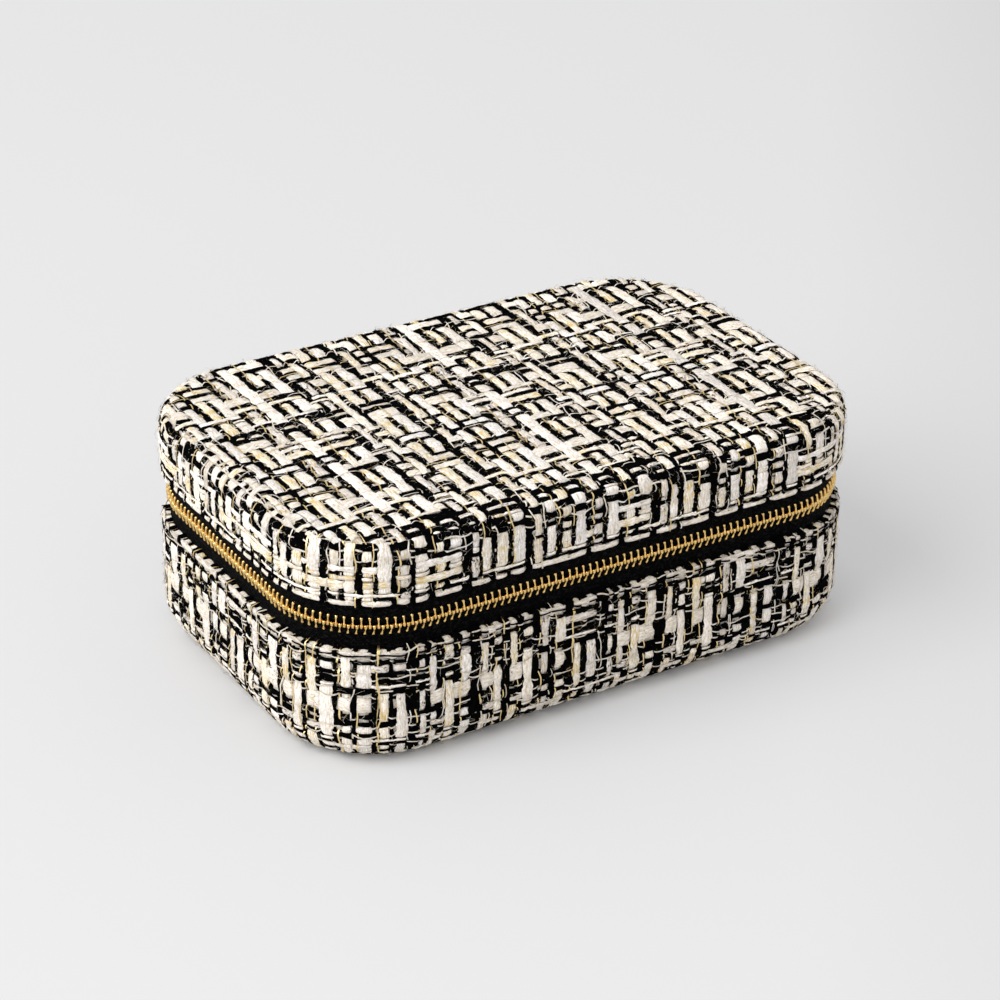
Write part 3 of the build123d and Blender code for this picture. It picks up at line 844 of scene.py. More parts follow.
# %% Laying one yarn
def yarn_levels(on_top):
    """Level and lift of each station: 1 and HIGH on top, 0 and LOW below; a float rises more."""
    top = np.where(on_top, 1.0, 0.0)
    before, after = np.roll(top, 1), np.roll(top, -1)
    before[0], after[-1] = top[0], top[-1]
    level = np.stack([OWN * top + NEXT * before, top, OWN * top + NEXT * after], -1)
    rise = (top * before * after)[:, None] * FLOAT_RISE * MM
    return level.ravel(), (LOW + (HIGH - LOW) * level + rise).ravel()


def lay_yarn(patches, place, yarn, marks, halves, on_top, ends, rng, dive):
    """Adds one yarn: place(along, across, lift) gives its points, marks are its crossings in order.

    Each station's lift comes from its crossing. The rounded back lowers a point by the crown times
    the square of its share across. At each end the yarn goes down to the ground over the length
    that dive gives, or stays up where that is 0. Smooth noise varies its width, line and tint.
    """
    kind, middle, width, _ = yarn
    tint, (gold, dark_fibre), crown, play = YARNS[kind]
    loose, black = kind in LOOSE, kind == "black"
    if len(marks) < 2:
        return
    along = (marks[:, None] + halves[:, None] * STATIONS).ravel()
    level, lift = yarn_levels(on_top)
    first, last = np.maximum(dive, SHORTEST)
    keep = np.flatnonzero((along > ends[0] + CLEAR * first) & (along < ends[1] - CLEAR * last))
    if len(keep) < 2:
        return
    head, tail = [ends[0], ends[0] + first], [ends[1] - last, ends[1]]
    along = np.concatenate([head, along[keep], tail])
    keep = np.concatenate([keep[[0, 0]], keep, keep[[-1, -1]]])
    level, lift = level[keep], lift[keep]
    lift += LIFT_VARIES * MM * rng.standard_normal()
    lift += LIFT_WAVES * MM * smooth_noise(rng, along, LIFT_WAVE)
    for end in (0, -1):
        if dive[end] > 0:
            lift[end] = GROUND
    # Stations of close crossings can swap places, so they are sorted, each a hair past the last.
    along = np.sort(along) + np.arange(len(along)) * HAIR
    lift = lift + (LOOSE_RISE * MM * level if loose else -BLACK_SINKS * MM * black)

    shares = ACROSS_LOOSE if loose else ACROSS_BLACK if black else ACROSS_RIBBON
    swell, ragged = (0.28, 0.10) if black else (0.15, 0.22 if kind in ("hem", "fuzzy") else 0.13)
    half = width / 2 * (BLACK_SPREADS if black else 1) * (PINCHED + (1 - PINCHED) * level)
    half = half * (1 + swell * smooth_noise(rng, along, WIDTH_WAVE))
    for length, way in zip(dive, (along - along[0], along[-1] - along)):
        if length > 0:
            half = half * np.clip(TIP + (1 - TIP) * way / length, 0, 1)
    wander = smooth_noise(rng, along, LOOSE_WAVE if loose else LINE_WAVE)
    line = middle + 0.55 * play * MM * wander
    rough = 0 if loose else MM
    fray = rough * ragged * rng.standard_normal((len(along), len(shares))) * np.abs(shares) ** 4
    edge_drop = rough * 0.06 * rng.standard_normal((len(along), 1)) * np.abs(shares)
    across = line[:, None] + half[:, None] * shares + fray
    heights = lift[:, None] - crown * MM * shares**2 + edge_drop
    points = place(np.broadcast_to(along[:, None], across.shape), across, heights)

    # Each yarn reads the noise in its own place, and differs a little in shade and warmth.
    beside = shares * width / 2 / MM + rng.random() * 50
    uv = np.stack(np.broadcast_arrays(beside, along[:, None] / MM), axis=-1)
    yarn_shade = 1 + 0.06 * rng.standard_normal()
    mottle = 1 + 0.07 * smooth_noise(rng, along, SHADE_WAVE)
    warm = 1 + np.array([0.01, 0.0, -0.025]) * rng.standard_normal()
    tints = np.array(tint) * warm * yarn_shade * mottle[:, None, None]
    # The odd fibres come and go along the yarn.
    waves = [np.clip(0.6 + 0.9 * smooth_noise(rng, along, FIBRE_WAVE), 0, 1.15) for _ in range(2)]
    fibre_shares = np.stack([gold * waves[0], dark_fibre * waves[1], 0 * along], -1)[:, None]
    patches.add(points, uv, tints, fibre_shares, SLOTS[kind], flip=patches.turned)


def lay_family(patches, place, yarns, crossed, table, span, rng, dive=(1.6 * MM, 1.6 * MM)):
    """Lays every yarn of one direction; span(yarn) gives its ends, table its row of crossings.

    Loose threads are too thin to bend what they cross, so they make no stations.
    """
    body = np.array([other[0] not in LOOSE for other in crossed])
    marks = np.array([other[1] for other in crossed])[body]
    halves = np.array([other[2] for other in crossed])[body] / 2
    for yarn, on_top in zip(yarns, table):
        ends = span(yarn)
        if ends is None:
            continue
        inside = (marks > ends[0]) & (marks < ends[1])
        crossings = marks[inside], halves[inside], on_top[body][inside]
        lay_yarn(patches, place, yarn, *crossings, ends, rng, dive)


print("ground at", GROUND / MM, "mm; stations per crossing:", len(STATIONS))

# %% [markdown]
# ## The tweed of the lid
# On the real lid the cloth runs straight over the front edge, so the warps of the top carry on down
# the front wall. Round the corners and sides the wall cloth keeps its own straight grain: its
# horizontal yarns go round level and its upright yarns stay upright. The top's cloth ends there in
# a seam half way round the edge. One sheet stretched over everything would be simpler, but it would
# have to be pleated at the corners, and the real corners are smooth.

# %% Lid: which yarns lie where
LID_SEAM = lid_shell.edge * np.pi / 4
LID_FLAT_Y = WIDTH / 2 - TOP_EDGE
# Where the repeats start, which brings the broad rows to their places on the front edge.
WARP_PHASE, WEFT_PHASE = -67.8 * MM, -38.2 * MM
# How far past a seam a ribbon ends, and the shortest height of arc in which a yarn is still laid.
PAST_SEAM, SHORT_OF_SEAM, LEAST_ARC = 0.6 * MM, -1.8 * MM, 0.8 * MM
# The sides' outermost blacks lie within this band and have this share of their width.
SLIM_BAND, SLIM = 4 * MM, 0.55
rng = np.random.default_rng(11)


def span_to(straight_across, straight_along, radius, past):
    """A function that gives a yarn's two ends on a rounded outline, or None where it misses it.

    Half its length is the straight half and the height of the corner's circle at its place: the
    square root of radius squared less the way past the straight squared. past(yarn) is added to
    the radius.
    """

    def span(yarn):
        """The two ends of one yarn."""
        beyond, r = max(abs(yarn[1]) - straight_across, 0), radius + past(yarn)
        if beyond >= r - LEAST_ARC:
            return None
        end = straight_along + np.sqrt(r**2 - beyond**2)
        return -end, end

    return span


def end_past(yarn):
    """How far past the seam a yarn ends: black ones end short of it, so they don't gather there."""
    return SHORT_OF_SEAM if yarn[0] == "black" else PAST_SEAM


def across_flat(table, repeat, phase, straight, radius):
    """The yarns of a table that cross a flat of that straight half width and corner radius."""
    return pick(table, repeat, phase, -straight - radius, straight + radius)


# Weft places run towards the front, so y is minus the place.
seam_radius = CORNER - TOP_EDGE + LID_SEAM
lid_warps = across_flat(WARPS, WARP_REPEAT, WARP_PHASE, STRAIGHT_X, seam_radius)
# A black yarn that lay along the seam at the side would read as a line, so the outermost are slim.
near_side = LENGTH / 2 - TOP_EDGE - SLIM_BAND
lid_warps = [
    (kind, at, width * (SLIM if kind == "black" and abs(at) > near_side else 1), group)
    for kind, at, width, group in lid_warps
]
top_wefts = across_flat(WEFTS, WEFT_REPEAT, WEFT_PHASE, STRAIGHT_Y, seam_radius)
print(len(lid_warps), "warps across the lid")

# %% Lid: rows of the wall, and all rows from the back rim to the front rim
EVERY = "ABCDEGQRSTqsxyz"
LID_ROWS = [
    # kind, distance above the rim (mm), width (mm), groups covered
    ("black", 23.3, 2.1, "ABxEQqGyS"),
    ("thin", 21.5, 0.9, "AQz"),
    ("black", 20.0, 2.1, "DBCRExTqs"),
    ("thread", 18.7, 0.5, ""),
    ("black", 17.2, 2.0, "AQSCxzGq"),
    ("thread", 15.8, 0.5, ""),
    ("black", 14.3, 1.5, "DBGTys"),
    ("white", 12.7, 2.0, "DB"),
    ("black", 11.0, 1.1, "xETR"),
    ("beige", 9.7, 1.3, "B"),
    ("cream", 7.5, 2.4, "DB"),
    ("black", 5.6, 1.1, "DBTyx"),
    ("thin", 4.2, 0.9, "ABCGQqSsx"),
    ("black", 3.1, 0.8, EVERY),
    ("hem", 1.35, 2.1, EVERY),
]
RIM_DROP = lid_shell.turn + lid_shell.wall + HEM_RADIUS
# A weft of the top that comes nearer than this to the edge gives way to the edge's own rows.
EDGE_ROOM = 0.4 * MM


def moved(rows, shift):
    """The same rows with their places moved by shift."""
    return [(kind, at + shift, width, covers) for kind, at, width, covers in rows]


def mirrored(rows):
    """The same rows in reverse order, on the other side of 0."""
    return [(kind, -at, width, covers) for kind, at, width, covers in reversed(rows)]


wall_rows = [(kind, RIM_DROP - up * MM, width * MM, covers) for kind, up, width, covers in LID_ROWS]
lid_rows = [row for row in wall_rows if row[1] > LID_SEAM]
near_edge = moved([row for row in wall_rows if row[1] <= LID_SEAM], LID_FLAT_Y)
inner = [row for row in top_wefts if abs(row[1]) < LID_FLAT_Y - EDGE_ROOM]
top_wefts = mirrored(near_edge) + inner + near_edge
front_rows = moved(lid_rows, LID_FLAT_Y)
back_rows = mirrored(front_rows)
all_rows = back_rows + top_wefts + front_rows
lid_table = crossing_table(lid_warps, all_rows, rng)
# The back wall mirrors the front wall.
lid_table[:, : len(back_rows)] = lid_table[:, -1 : -len(back_rows) - 1 : -1]
print(len(top_wefts), "wefts on top and", len(lid_rows), "rows on the wall")

# %% Lid: warps that run rim to rim, and the short ones beside them
lid_warp_patches = Patches()
is_long = np.array([abs(warp[1]) < STRAIGHT_X for warp in lid_warps])
long_warps = [warp for warp, far in zip(lid_warps, is_long) if far]
short_warps = [warp for warp, far in zip(lid_warps, is_long) if not far]


def on_top_warp(along, across, lift):
    """A warp runs towards the front, so its way along is minus y."""
    return lid_shell.wrap(across, -along, lift)


def rim_to_rim(yarn):
    """The ends of a warp that goes over the whole lid: the flat's half width and the profile."""
    return -LID_FLAT_Y - lid_shell.reach, LID_FLAT_Y + lid_shell.reach


lay_family(
    lid_warp_patches, on_top_warp, long_warps, all_rows, lid_table[is_long], rim_to_rim, rng,
    dive=(0, 0),
)
short_span = span_to(STRAIGHT_X, STRAIGHT_Y, seam_radius, end_past)
lay_family(
    lid_warp_patches, on_top_warp, short_warps, all_rows, lid_table[~is_long], short_span, rng
)
lid_tweed_warps = lid_warp_patches.build("lid_tweed_warps", YARN_MATERIALS)

# %% Lid: wefts of the top
lid_weft_patches = Patches(turned=True)


def on_top_weft(along, across, lift):
    """A weft runs along x; its own place runs towards the front."""
    return lid_shell.wrap(along, -across, lift)


weft_span = span_to(STRAIGHT_Y, STRAIGHT_X, seam_radius, end_past)
top_part = ~lid_table[:, len(back_rows) : len(back_rows) + len(top_wefts)].T
lay_family(lid_weft_patches, on_top_weft, top_wefts, lid_warps, top_part, weft_span, rng)
lid_tweed_wefts = lid_weft_patches.build("lid_tweed_wefts", YARN_MATERIALS)

# %% [markdown]
# ## Wall cloth
# A strip of cloth goes round the wall. Its rows go round at one height and end in the middle of
# the back. Its uprights are the warps of the front, carried on round the corners and sides in the
# same order, so front and side join without a step. Flat panels would need seams at the corners,
# where the real cloth has none. On the base the strip also makes the front and the back.

# %% Laying a wall
HALF_ROUND = PERIMETER / 2
# A wall's yarns go down to the ground over DIVE. Its uprights start BEFORE_SEAM above the seam.
DIVE, BEFORE_SEAM = 0.7 * MM, 1.4 * MM
# The broad soft yarn under the seam: how far above it, how wide, and how many stops it has.
FILLER_RISE, FILLER_WIDTH, FILLER_STOPS = 0.2 * MM, 4.6 * MM, 119


def lay_wall(name, shell, rows, uprights, table, seam, seed, between=None):
    """One piece of wall cloth: rows round the case and uprights from above the seam to the rim.

    Places round the case are distances from the middle of the front towards -X. between limits the
    uprights that are laid here to those whose place is in the given stretches. A broad soft yarn
    lies deep under the seam, where the flat's cloth ends, and fills the gaps there. A slit runs
    only over the front and its two corners.
    """
    rng = np.random.default_rng(seed)

    def on_upright(along, across, lift):
        """An upright's way along is its drop, and its own place is a distance round the case."""
        return shell.band(across, along, lift)

    def row_span(yarn):
        """A row goes all the way round, and a slit round the front and its two corners."""
        end = STRAIGHT_X + ROUND_CORNER if yarn[0] == "slit" else HALF_ROUND
        return -end, end

    def upright_span(yarn):
        """An upright goes from just above the seam to the end of the turned-in rim."""
        return seam - BEFORE_SEAM, shell.reach

    patches = Patches(turned=shell.way > 0)
    stops = np.linspace(-HALF_ROUND, HALF_ROUND, FILLER_STOPS + 2)[1:-1]
    halves, under = np.full(len(stops), 0.5 * MM), np.zeros(len(stops), bool)
    filler = ("fuzzy", seam - FILLER_RISE, FILLER_WIDTH, "")
    ends, dive = (-HALF_ROUND, HALF_ROUND), (DIVE, DIVE)
    lay_yarn(patches, shell.band, filler, stops, halves, under, ends, rng, dive)
    lay_family(patches, shell.band, rows, uprights, ~table.T, row_span, rng, dive)
    rows_built = patches.build(name + "_rows", YARN_MATERIALS)
    patches = Patches(turned=shell.way < 0)
    chosen = np.array([between is None or between(upright[1]) for upright in uprights])
    kept = [upright for upright, use in zip(uprights, chosen) if use]
    lay_family(patches, on_upright, kept, rows, table[chosen], upright_span, rng, (DIVE, 0))
    return rows_built, patches.build(name + "_uprights", YARN_MATERIALS)


def round_uprights(phase):
    """Uprights all round: the warp order read from the front's right to its left and on."""
    end = HALF_ROUND - 1 * MM
    return mirrored(pick(WARPS, WARP_REPEAT, phase, -end, end))


# %% Lid: uprights of the wall
# The long warps of the lid already run down its front and back, so only the sides get new ones.
BACK_FROM = HALF_ROUND - STRAIGHT_X
SIDE_BLACK, SIDE_RIBBON = 0.92, 0.99


def on_side(s):
    """Whether a place round the case lies on a side or a corner."""
    return STRAIGHT_X <= abs(s) <= BACK_FROM


side_uprights = [
    (kind, at, width * (SIDE_BLACK if kind == "black" else SIDE_RIBBON), group)
    for kind, at, width, group in round_uprights(WARP_PHASE)
    if on_side(at)
]
front_uprights = mirrored(long_warps)
back_uprights = [
    (kind, HALF_ROUND + at if at < 0 else at - HALF_ROUND, width, group)
    for kind, at, width, group in reversed(long_warps)
]
lid_uprights = sorted(side_uprights + front_uprights + back_uprights, key=lambda u: u[1])
print(len(side_uprights), "uprights on the lid's sides")

# %% Lid: crossings of the wall, and its cloth
PALE_ROWS = ("white", "cream", "beige", "thin")
# On a side, the chances that a ribbon passes over a black row and that a pale row passes over all.
RIBBON_WINS, PALE_WINS = 0.33, 0.45
# A long warp's crossings with the front rows, found again by its place to a tenth of a micron.
DIGITS = 7
long_of = {
    round(warp[1], DIGITS): lid_table[i, -len(lid_rows) :]
    for i, warp in enumerate(lid_warps)
    if is_long[i]
}


def lid_wall_table():
    """The rows' crossings: as on the front where a long warp passes, and from the draft elsewhere.

    On the sides more ribbons pass over the black rows, and more pale rows pass over all uprights.
    """
    rng = np.random.default_rng(5)
    table = crossing_table(lid_uprights, lid_rows, rng)
    black_row = np.array([row[0] == "black" for row in lid_rows])
    pale_row = np.array([row[0] in PALE_ROWS for row in lid_rows])
    for i, (kind, s, _, _) in enumerate(lid_uprights):
        if on_side(s):
            chance = rng.random(len(lid_rows))
            over = black_row & (kind != "black") & (chance < RIBBON_WINS)
            table[i] = (table[i] | over) & ~(pale_row & (chance < PALE_WINS))
        x = -s if abs(s) < STRAIGHT_X else s - HALF_ROUND if s > 0 else s + HALF_ROUND
        if not on_side(s) and round(x, DIGITS) in long_of:
            table[i] = long_of[round(x, DIGITS)]
    return table


lid_tweed_rows, lid_tweed_uprights = lay_wall(
    "lid_tweed", lid_shell, lid_rows, lid_uprights, lid_wall_table(), LID_SEAM, 21, on_side
)

# %% [markdown]
# ## The tweed of the base
# The base's cloth comes up from the underside and ends at the rim in a bound hem: a row of broad
# pale loops, each with a dark slit along its middle, tied down by black yarns. A hem could be one
# rolled strip, but here it is two more rows of the same draft, a "hem" and a thin "slit" on it. On
# the front the ribbons are slimmer and flecked with gold and grey, and the blacks are broader with
# a fine thread beside them. On the sides the ribbons are broader and plainer.

# %% Base: rows by their height on the wall
BASE_ROWS = [
    # kind, height above the table (mm), width (mm), groups covered
    ("thread", 39.7, 0.45, ""),
    ("slit", 38.75, 0.6, ""),
    ("hem", 39.0, 2.9, EVERY),
    ("thread", 37.5, 0.45, ""),
    ("black", 36.5, 1.1, "ABDxEQqGyzSsRC"),
    ("grey", 34.2, 2.4, "DBqG"),
    ("black", 32.4, 1.2, "DBExqGSy"),
    ("thread", 33.1, 0.45, ""),
    ("thread", 31.2, 0.5, ""),
    ("black", 29.9, 1.7, "DBExqGSz"),
    ("thin", 28.2, 0.8, "DBqSE"),
    ("black", 26.6, 1.7, "DBExqGyTA"),
    ("thread", 27.2, 0.45, ""),
    ("thread", 25.0, 0.5, ""),
    ("fuzzy", 21.6, 5.0, "ACQRs"),
    ("black", 17.6, 1.5, "ACQRsTxyE"),
    ("thread", 17.0, 0.45, ""),
    ("black", 15.2, 1.4, "AQRsTz"),
    ("thread", 14.2, 0.5, ""),
    ("grey", 12.9, 1.6, "CRs"),
    ("black", 11.2, 1.6, "ACQRsTx"),
    ("thread", 11.6, 0.45, ""),
    ("thin", 9.4, 0.8, "DBEqGS"),
    ("black", 8.2, 1.3, "DBEqGSyz"),
    ("thread", 8.4, 0.4, ""),
    ("white", 6.5, 2.0, "ACQRT"),
    ("black", 4.9, 1.3, "DBxqGyS"),
    ("thin", 3.6, 1.2, "AEQGS"),
]
BASE_SEAM = base_shell.edge * np.pi / 4


def drop_at(height):
    """How far round the base's profile a height lies.

    On the round edge it is the radius times the angle whose cosine is 1 less the height over the
    radius; above that, the rest of the height is added.
    """
    edge = base_shell.edge
    low = np.arccos(1 - min(height, edge) / edge) * edge
    return low + max(height - edge, 0)


base_rows = sorted(
    [(kind, drop_at(z * MM), width * MM, covers) for kind, z, width, covers in BASE_ROWS],
    key=lambda row: row[1],
)
print(len(base_rows), "rows on the base's wall")

# %% Base: uprights and wall cloth
BASE_UPRIGHT_PHASE = -20.1 * MM
# The front's look goes on a little way round its corners.
FRONT_PART = STRAIGHT_X + 10 * MM
FRONT_KINDS = {"white": "flecked", "wide": "white"}
SIDE_KINDS = {"grey": "white", "beige": "cream", "white": "wide"}
# Widths of blacks and ribbons there, as shares of the draft's.
FRONT_WIDTHS, SIDE_WIDTHS = (1.45, 0.85), (0.78, 1.12)
# Blacks broader than this get a thread beside them.
BROAD_BLACK = 1.25 * MM


def base_upright(upright):
    """One upright with its kind and width for the front or the side, and perhaps its thread.

    Along a broad black lies a gold thread at the edge of the ribbon beside it, or a pale one on it.
    Every third millimetre gives a pale one.
    """
    kind, at, width, group = upright
    front = abs(at) < FRONT_PART
    kind = (FRONT_KINDS if front else SIDE_KINDS).get(kind, kind)
    black, ribbon = FRONT_WIDTHS if front else SIDE_WIDTHS
    made = [(kind, at, width * (black if kind == "black" else ribbon), group)]
    if kind == "black" and width > BROAD_BLACK:
        pale = int(round(at / MM)) % 3 == 0
        gold_thread_beside = ("gold", at - 0.7 * width, 0.4 * MM, "L")
        made.append(("thread", at + 0.25 * MM, 0.35 * MM, "t") if pale else gold_thread_beside)
    return made


base_uprights = sum([base_upright(upright) for upright in round_uprights(BASE_UPRIGHT_PHASE)], [])
base_wall_table = crossing_table(base_uprights, base_rows, np.random.default_rng(6))
base_tweed_rows, base_tweed_uprights = lay_wall(
    "base_tweed", base_shell, base_rows, base_uprights, base_wall_table, BASE_SEAM, 22
)

# %% Base: the cloth of the underside
bottom_radius = CORNER - BOTTOM_EDGE + BASE_SEAM
bottom_warps = across_flat(WARPS, WARP_REPEAT, 10 * MM, STRAIGHT_X, bottom_radius)
bottom_wefts = across_flat(WEFTS, WEFT_REPEAT, 20 * MM, STRAIGHT_Y, bottom_radius)
bottom_table = crossing_table(bottom_warps, bottom_wefts, np.random.default_rng(8))
bottom_warp_span = span_to(STRAIGHT_X, STRAIGHT_Y, bottom_radius, lambda yarn: PAST_SEAM)
bottom_weft_span = span_to(STRAIGHT_Y, STRAIGHT_X, bottom_radius, lambda yarn: PAST_SEAM)


def on_bottom_warp(along, across, lift):
    """A warp of the underside, laid as on the top."""
    return base_shell.wrap(across, -along, lift)


def on_bottom_weft(along, across, lift):
    """A weft of the underside, laid as on the top."""
    return base_shell.wrap(along, -across, lift)


bottom_warp_patches, bottom_weft_patches = Patches(turned=True), Patches()
lay_family(
    bottom_warp_patches, on_bottom_warp, bottom_warps, bottom_wefts, bottom_table,
    bottom_warp_span, rng,
)
lay_family(
    bottom_weft_patches, on_bottom_weft, bottom_wefts, bottom_warps, ~bottom_table.T,
    bottom_weft_span, rng,
)
base_tweed_warps = bottom_warp_patches.build("base_tweed_warps", YARN_MATERIALS)
base_tweed_wefts = bottom_weft_patches.build("base_tweed_wefts", YARN_MATERIALS)

# %% [markdown]
# ## The ground under the yarns
# Between loose yarns the eye sees dark backing. It is one closed skin just below the yarns: rings
# from the middle of the flat, round the edge, down the wall and in under the rim. At the rim it is
# turned in over the board, as the real cloth is. The solid cover could show instead, but it lies
# higher, and the yarns would sink into it.

# %% Ground skins
RING_POINTS, ROUND_RINGS, WALL_RINGS = 289, 7, 5
FLAT_SHARES = np.array([0, 0.25, 0.5, 0.7, 0.85, 0.95])


def ground_skin(name, shell):
    """A skin of rings at the depth of the ground.

    The flat's rings are shares of its outline. Then come rings down the shell's profile: round the
    edge, down the wall, and round the rim.
    """
    s = np.linspace(0, PERIMETER, RING_POINTS)
    on_edge = np.linspace(0, shell.turn, ROUND_RINGS)
    on_wall = shell.turn + np.linspace(0.1, 0.9, WALL_RINGS) * shell.wall
    on_rim = np.linspace(shell.turn + shell.wall, shell.reach, ROUND_RINGS)
    S, D = np.meshgrid(s, np.concatenate([on_edge, on_wall, on_rim]))
    wall = shell.band(S, D, np.full_like(S, GROUND))
    flat = wall[:1] * np.array([1, 1, 0]) * FLAT_SHARES[:, None, None] + wall[:1] * [0, 0, 1]
    grid = np.concatenate([flat, wall])
    uv = np.stack(np.broadcast_arrays(s / MM, np.arange(len(grid))[:, None]), -1)
    patches = Patches()
    patches.add(grid[:, :-1], uv[:, :-1], wrap=True, flip=shell.way > 0)
    return weld(patches.build(name, [ground_cloth]))


lid_ground = ground_skin("lid_tweed_ground", lid_shell)
base_ground = ground_skin("base_tweed_ground", base_shell)
for piece in (lid_ground, lid_tweed_warps, lid_tweed_wefts, lid_tweed_rows, lid_tweed_uprights):
    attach(piece, "lid")
    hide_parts("lid_cover")
base_cloth = (base_tweed_warps, base_tweed_wefts, base_tweed_rows, base_tweed_uprights)
for piece in (base_ground, *base_cloth):
    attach(piece, "base")
    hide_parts("base_cover")

# %% [markdown]
# ## Loose hairs
# Loose tweed sheds: short hairs stand off the yarns, soften the weave and blur its outline. The
# hair system could grow them, but it isn't a mesh. Here each is a narrow strip in four steps, laid
# as an arc from a random start in a random heading. All hairs of a piece are worked out at once, as
# a stack of small grids, and go in as one mesh.

# %% Laying hairs
HAIR_POINTS, FLAT_HAIRS, WALL_HAIRS = 5, 2600, 2200
HAIR_TINT, DARK_HAIR = np.array([0.93, 0.89, 0.80]), 0.004
DARK_HAIRS, GOLDEN_HAIRS = 0.2, 0.25
# Hairs root this far above the cloth's surface, and keep this clear of the rim and the flat's edge.
HAIR_ROOT, HAIR_CLEAR, WALL_TOP = 0.15 * MM, 1.5 * MM, 0.5 * MM


def lay_hairs(patches, place, low, high, count, rng):
    """Hairs on a sheet from low to high: at t from 0 to 1, length times t ahead of the start.

    A bow of 4 t (1 - t) takes it to the side. Its height rises likewise and ends a little off the
    cloth. Its width turns about its line by a random angle, so some stand on edge.
    """
    t = np.linspace(0, 1, HAIR_POINTS)[None, :, None]

    def draw(a, b):
        """A random number between a and b for each hair."""
        return rng.uniform(a, b, (count, 1, 1))

    start = rng.uniform(low, high, (count, 2))[:, None, None, :]
    heading, turn = draw(0, 2 * np.pi), draw(0, np.pi)
    length, bow = draw(1.2, 3.6) * MM, draw(-1.2, 1.2) * MM
    rise, tail = draw(0.1, 0.9) * MM, draw(0, 0.5) * MM
    width = draw(0.05, 0.10) * MM * np.array([-0.5, 0.5]) * (1 - 0.7 * t)
    arc = 4 * t * (1 - t)
    ahead, side = length * t, bow * arc + width * np.cos(turn)
    a = start[..., 0] + ahead * np.cos(heading) - side * np.sin(heading)
    b = start[..., 1] + ahead * np.sin(heading) + side * np.cos(heading)
    points = place(a, b, HAIR_ROOT + rise * arc + tail * t + width * np.sin(turn))
    uv = np.stack(np.broadcast_arrays(draw(0, 50) + np.array([0, 0.1]), ahead / MM), -1)
    dark = draw(0, 1) < DARK_HAIRS
    golden = np.where(draw(0, 1) < GOLDEN_HAIRS, 1.0, 0.1)
    tints = np.where(dark, DARK_HAIR, 1.0)[..., None] * HAIR_TINT
    patches.add(points, uv, tints, golden[..., None] * np.array([1, 0, 0]))


def hairs_on(name, shell, seed):
    """Hairs on the flat, as far as fits inside its round corners, and on the wall."""
    rng = np.random.default_rng(seed)
    patches = Patches()
    flat = np.array([STRAIGHT_X, STRAIGHT_Y]) + (CORNER - shell.edge) * 0.72
    lay_hairs(patches, shell.wrap, -flat, flat, FLAT_HAIRS, rng)
    low, high = [-HALF_ROUND, WALL_TOP], [HALF_ROUND, shell.turn + shell.wall - HAIR_CLEAR]
    lay_hairs(patches, shell.band, low, high, WALL_HAIRS, rng)
    return patches.build(name, [ribbon_yarn])


for name, shell, body, solid, seed in (
    ("lid_tweed_hairs", lid_shell, "lid", "lid_cover", 41),
    ("base_tweed_hairs", base_shell, "base", "base_cover", 42),
):
    piece = hairs_on(name, shell, seed)
    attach(piece, body)
    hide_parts(solid)

# %% [markdown]
# ## Zip tape
# Each tape is a thin black webbing, held between cloth and board, that comes out of the rim and
# ends in a beaded edge where the teeth grip it. A thin box bent round the case would miss the bead,
# so it is one closed profile carried along the case's outline. Inside the slider's mouth the two
# edges part, and behind the last tooth they meet.

# %% The zip's way round the case
# The tape's middle lies this deep in the outline, and its corners are that much tighter.
TAPE_MIDDLE = 3.0 * MM
CHAIN_CORNER = CORNER - TAPE_MIDDLE
CHAIN_QUARTER = CHAIN_CORNER * np.pi / 2
# Ways along the zip start on the back, just past the rear left corner, and run to the right side.
ZIP_START = 5 * MM
CHAIN_START = STRAIGHT_X + 2 * CHAIN_QUARTER + 2 * STRAIGHT_Y + ZIP_START
SLIDER_Y, SLIDER_LENGTH, SLIDER_TRAVEL = 18.25 * MM, 12.5 * MM, 40 * MM
TOOTH_PITCH, FIRST_TOOTH = 2.434 * MM, ZIP_START + 0.45 * CHAIN_QUARTER
# Half the gap between the tapes' edges along the zip and past its start, and how much the slider's
# mouth widens it over what length. Past the top stops it closes over CLOSING.
TAPE_GAP, END_GAP, FLARE, FLARE_LENGTH = 0.8 * MM, 0.1 * MM, 1.5 * MM, 5 * MM
STOPS, CLOSING, BACK_CORNER_Y = 3.1 * MM, 4 * MM, 52 * MM


def inset_outline(s, inset):
    """Like outline, for the outline drawn in by inset; s is measured round the drawn-in outline.

    Only its corners are shorter, so s is carried onto the full outline stretch by stretch.
    """
    drawn_in = np.where(np.arange(9) % 2 == 1, (CORNER - inset) * np.pi / 2, STRETCHES)
    ends, outer = np.cumsum(drawn_in), np.cumsum(STRETCHES)
    points, normals = outline(np.interp(np.mod(s, ends[-1]), np.r_[0, ends], np.r_[0, outer]))
    return points - normals * inset, normals


def mouth(y):
    """How far the slider's mouth parts the zip at y: 0 in front of it, FLARE behind."""
    return np.clip((y - SLIDER_Y + FLARE_LENGTH / 2) / FLARE_LENGTH, 0, 1) * FLARE


def edge_gap(points):
    """Half the gap between the edges: small past the zip's ends, wide in the slider's mouth."""
    x, y = points[..., 0], points[..., 1]
    right = (x > LENGTH / 2 - TAPE_MIDDLE - 0.5 * MM) & (y > -STRAIGHT_Y)
    stops_end = SLIDER_Y + SLIDER_LENGTH / 2 + STOPS
    closing = np.clip(1 - (y - stops_end) / CLOSING, 0.1, 1)
    elsewhere = np.where(y > BACK_CORNER_Y, END_GAP, TAPE_GAP)
    return np.where(right, (TAPE_GAP + mouth(y)) * closing, elsewhere)


print("teeth every", TOOTH_PITCH / MM, "mm from", round(FIRST_TOOTH / MM, 1), "mm")

# %% Building the two tapes
# The tapes leave this much free on each side of the middle of the back.
BACK_FREE, TAPE_STEPS, BEHIND_RIM = 64.3 * MM, 420, 8 * MM
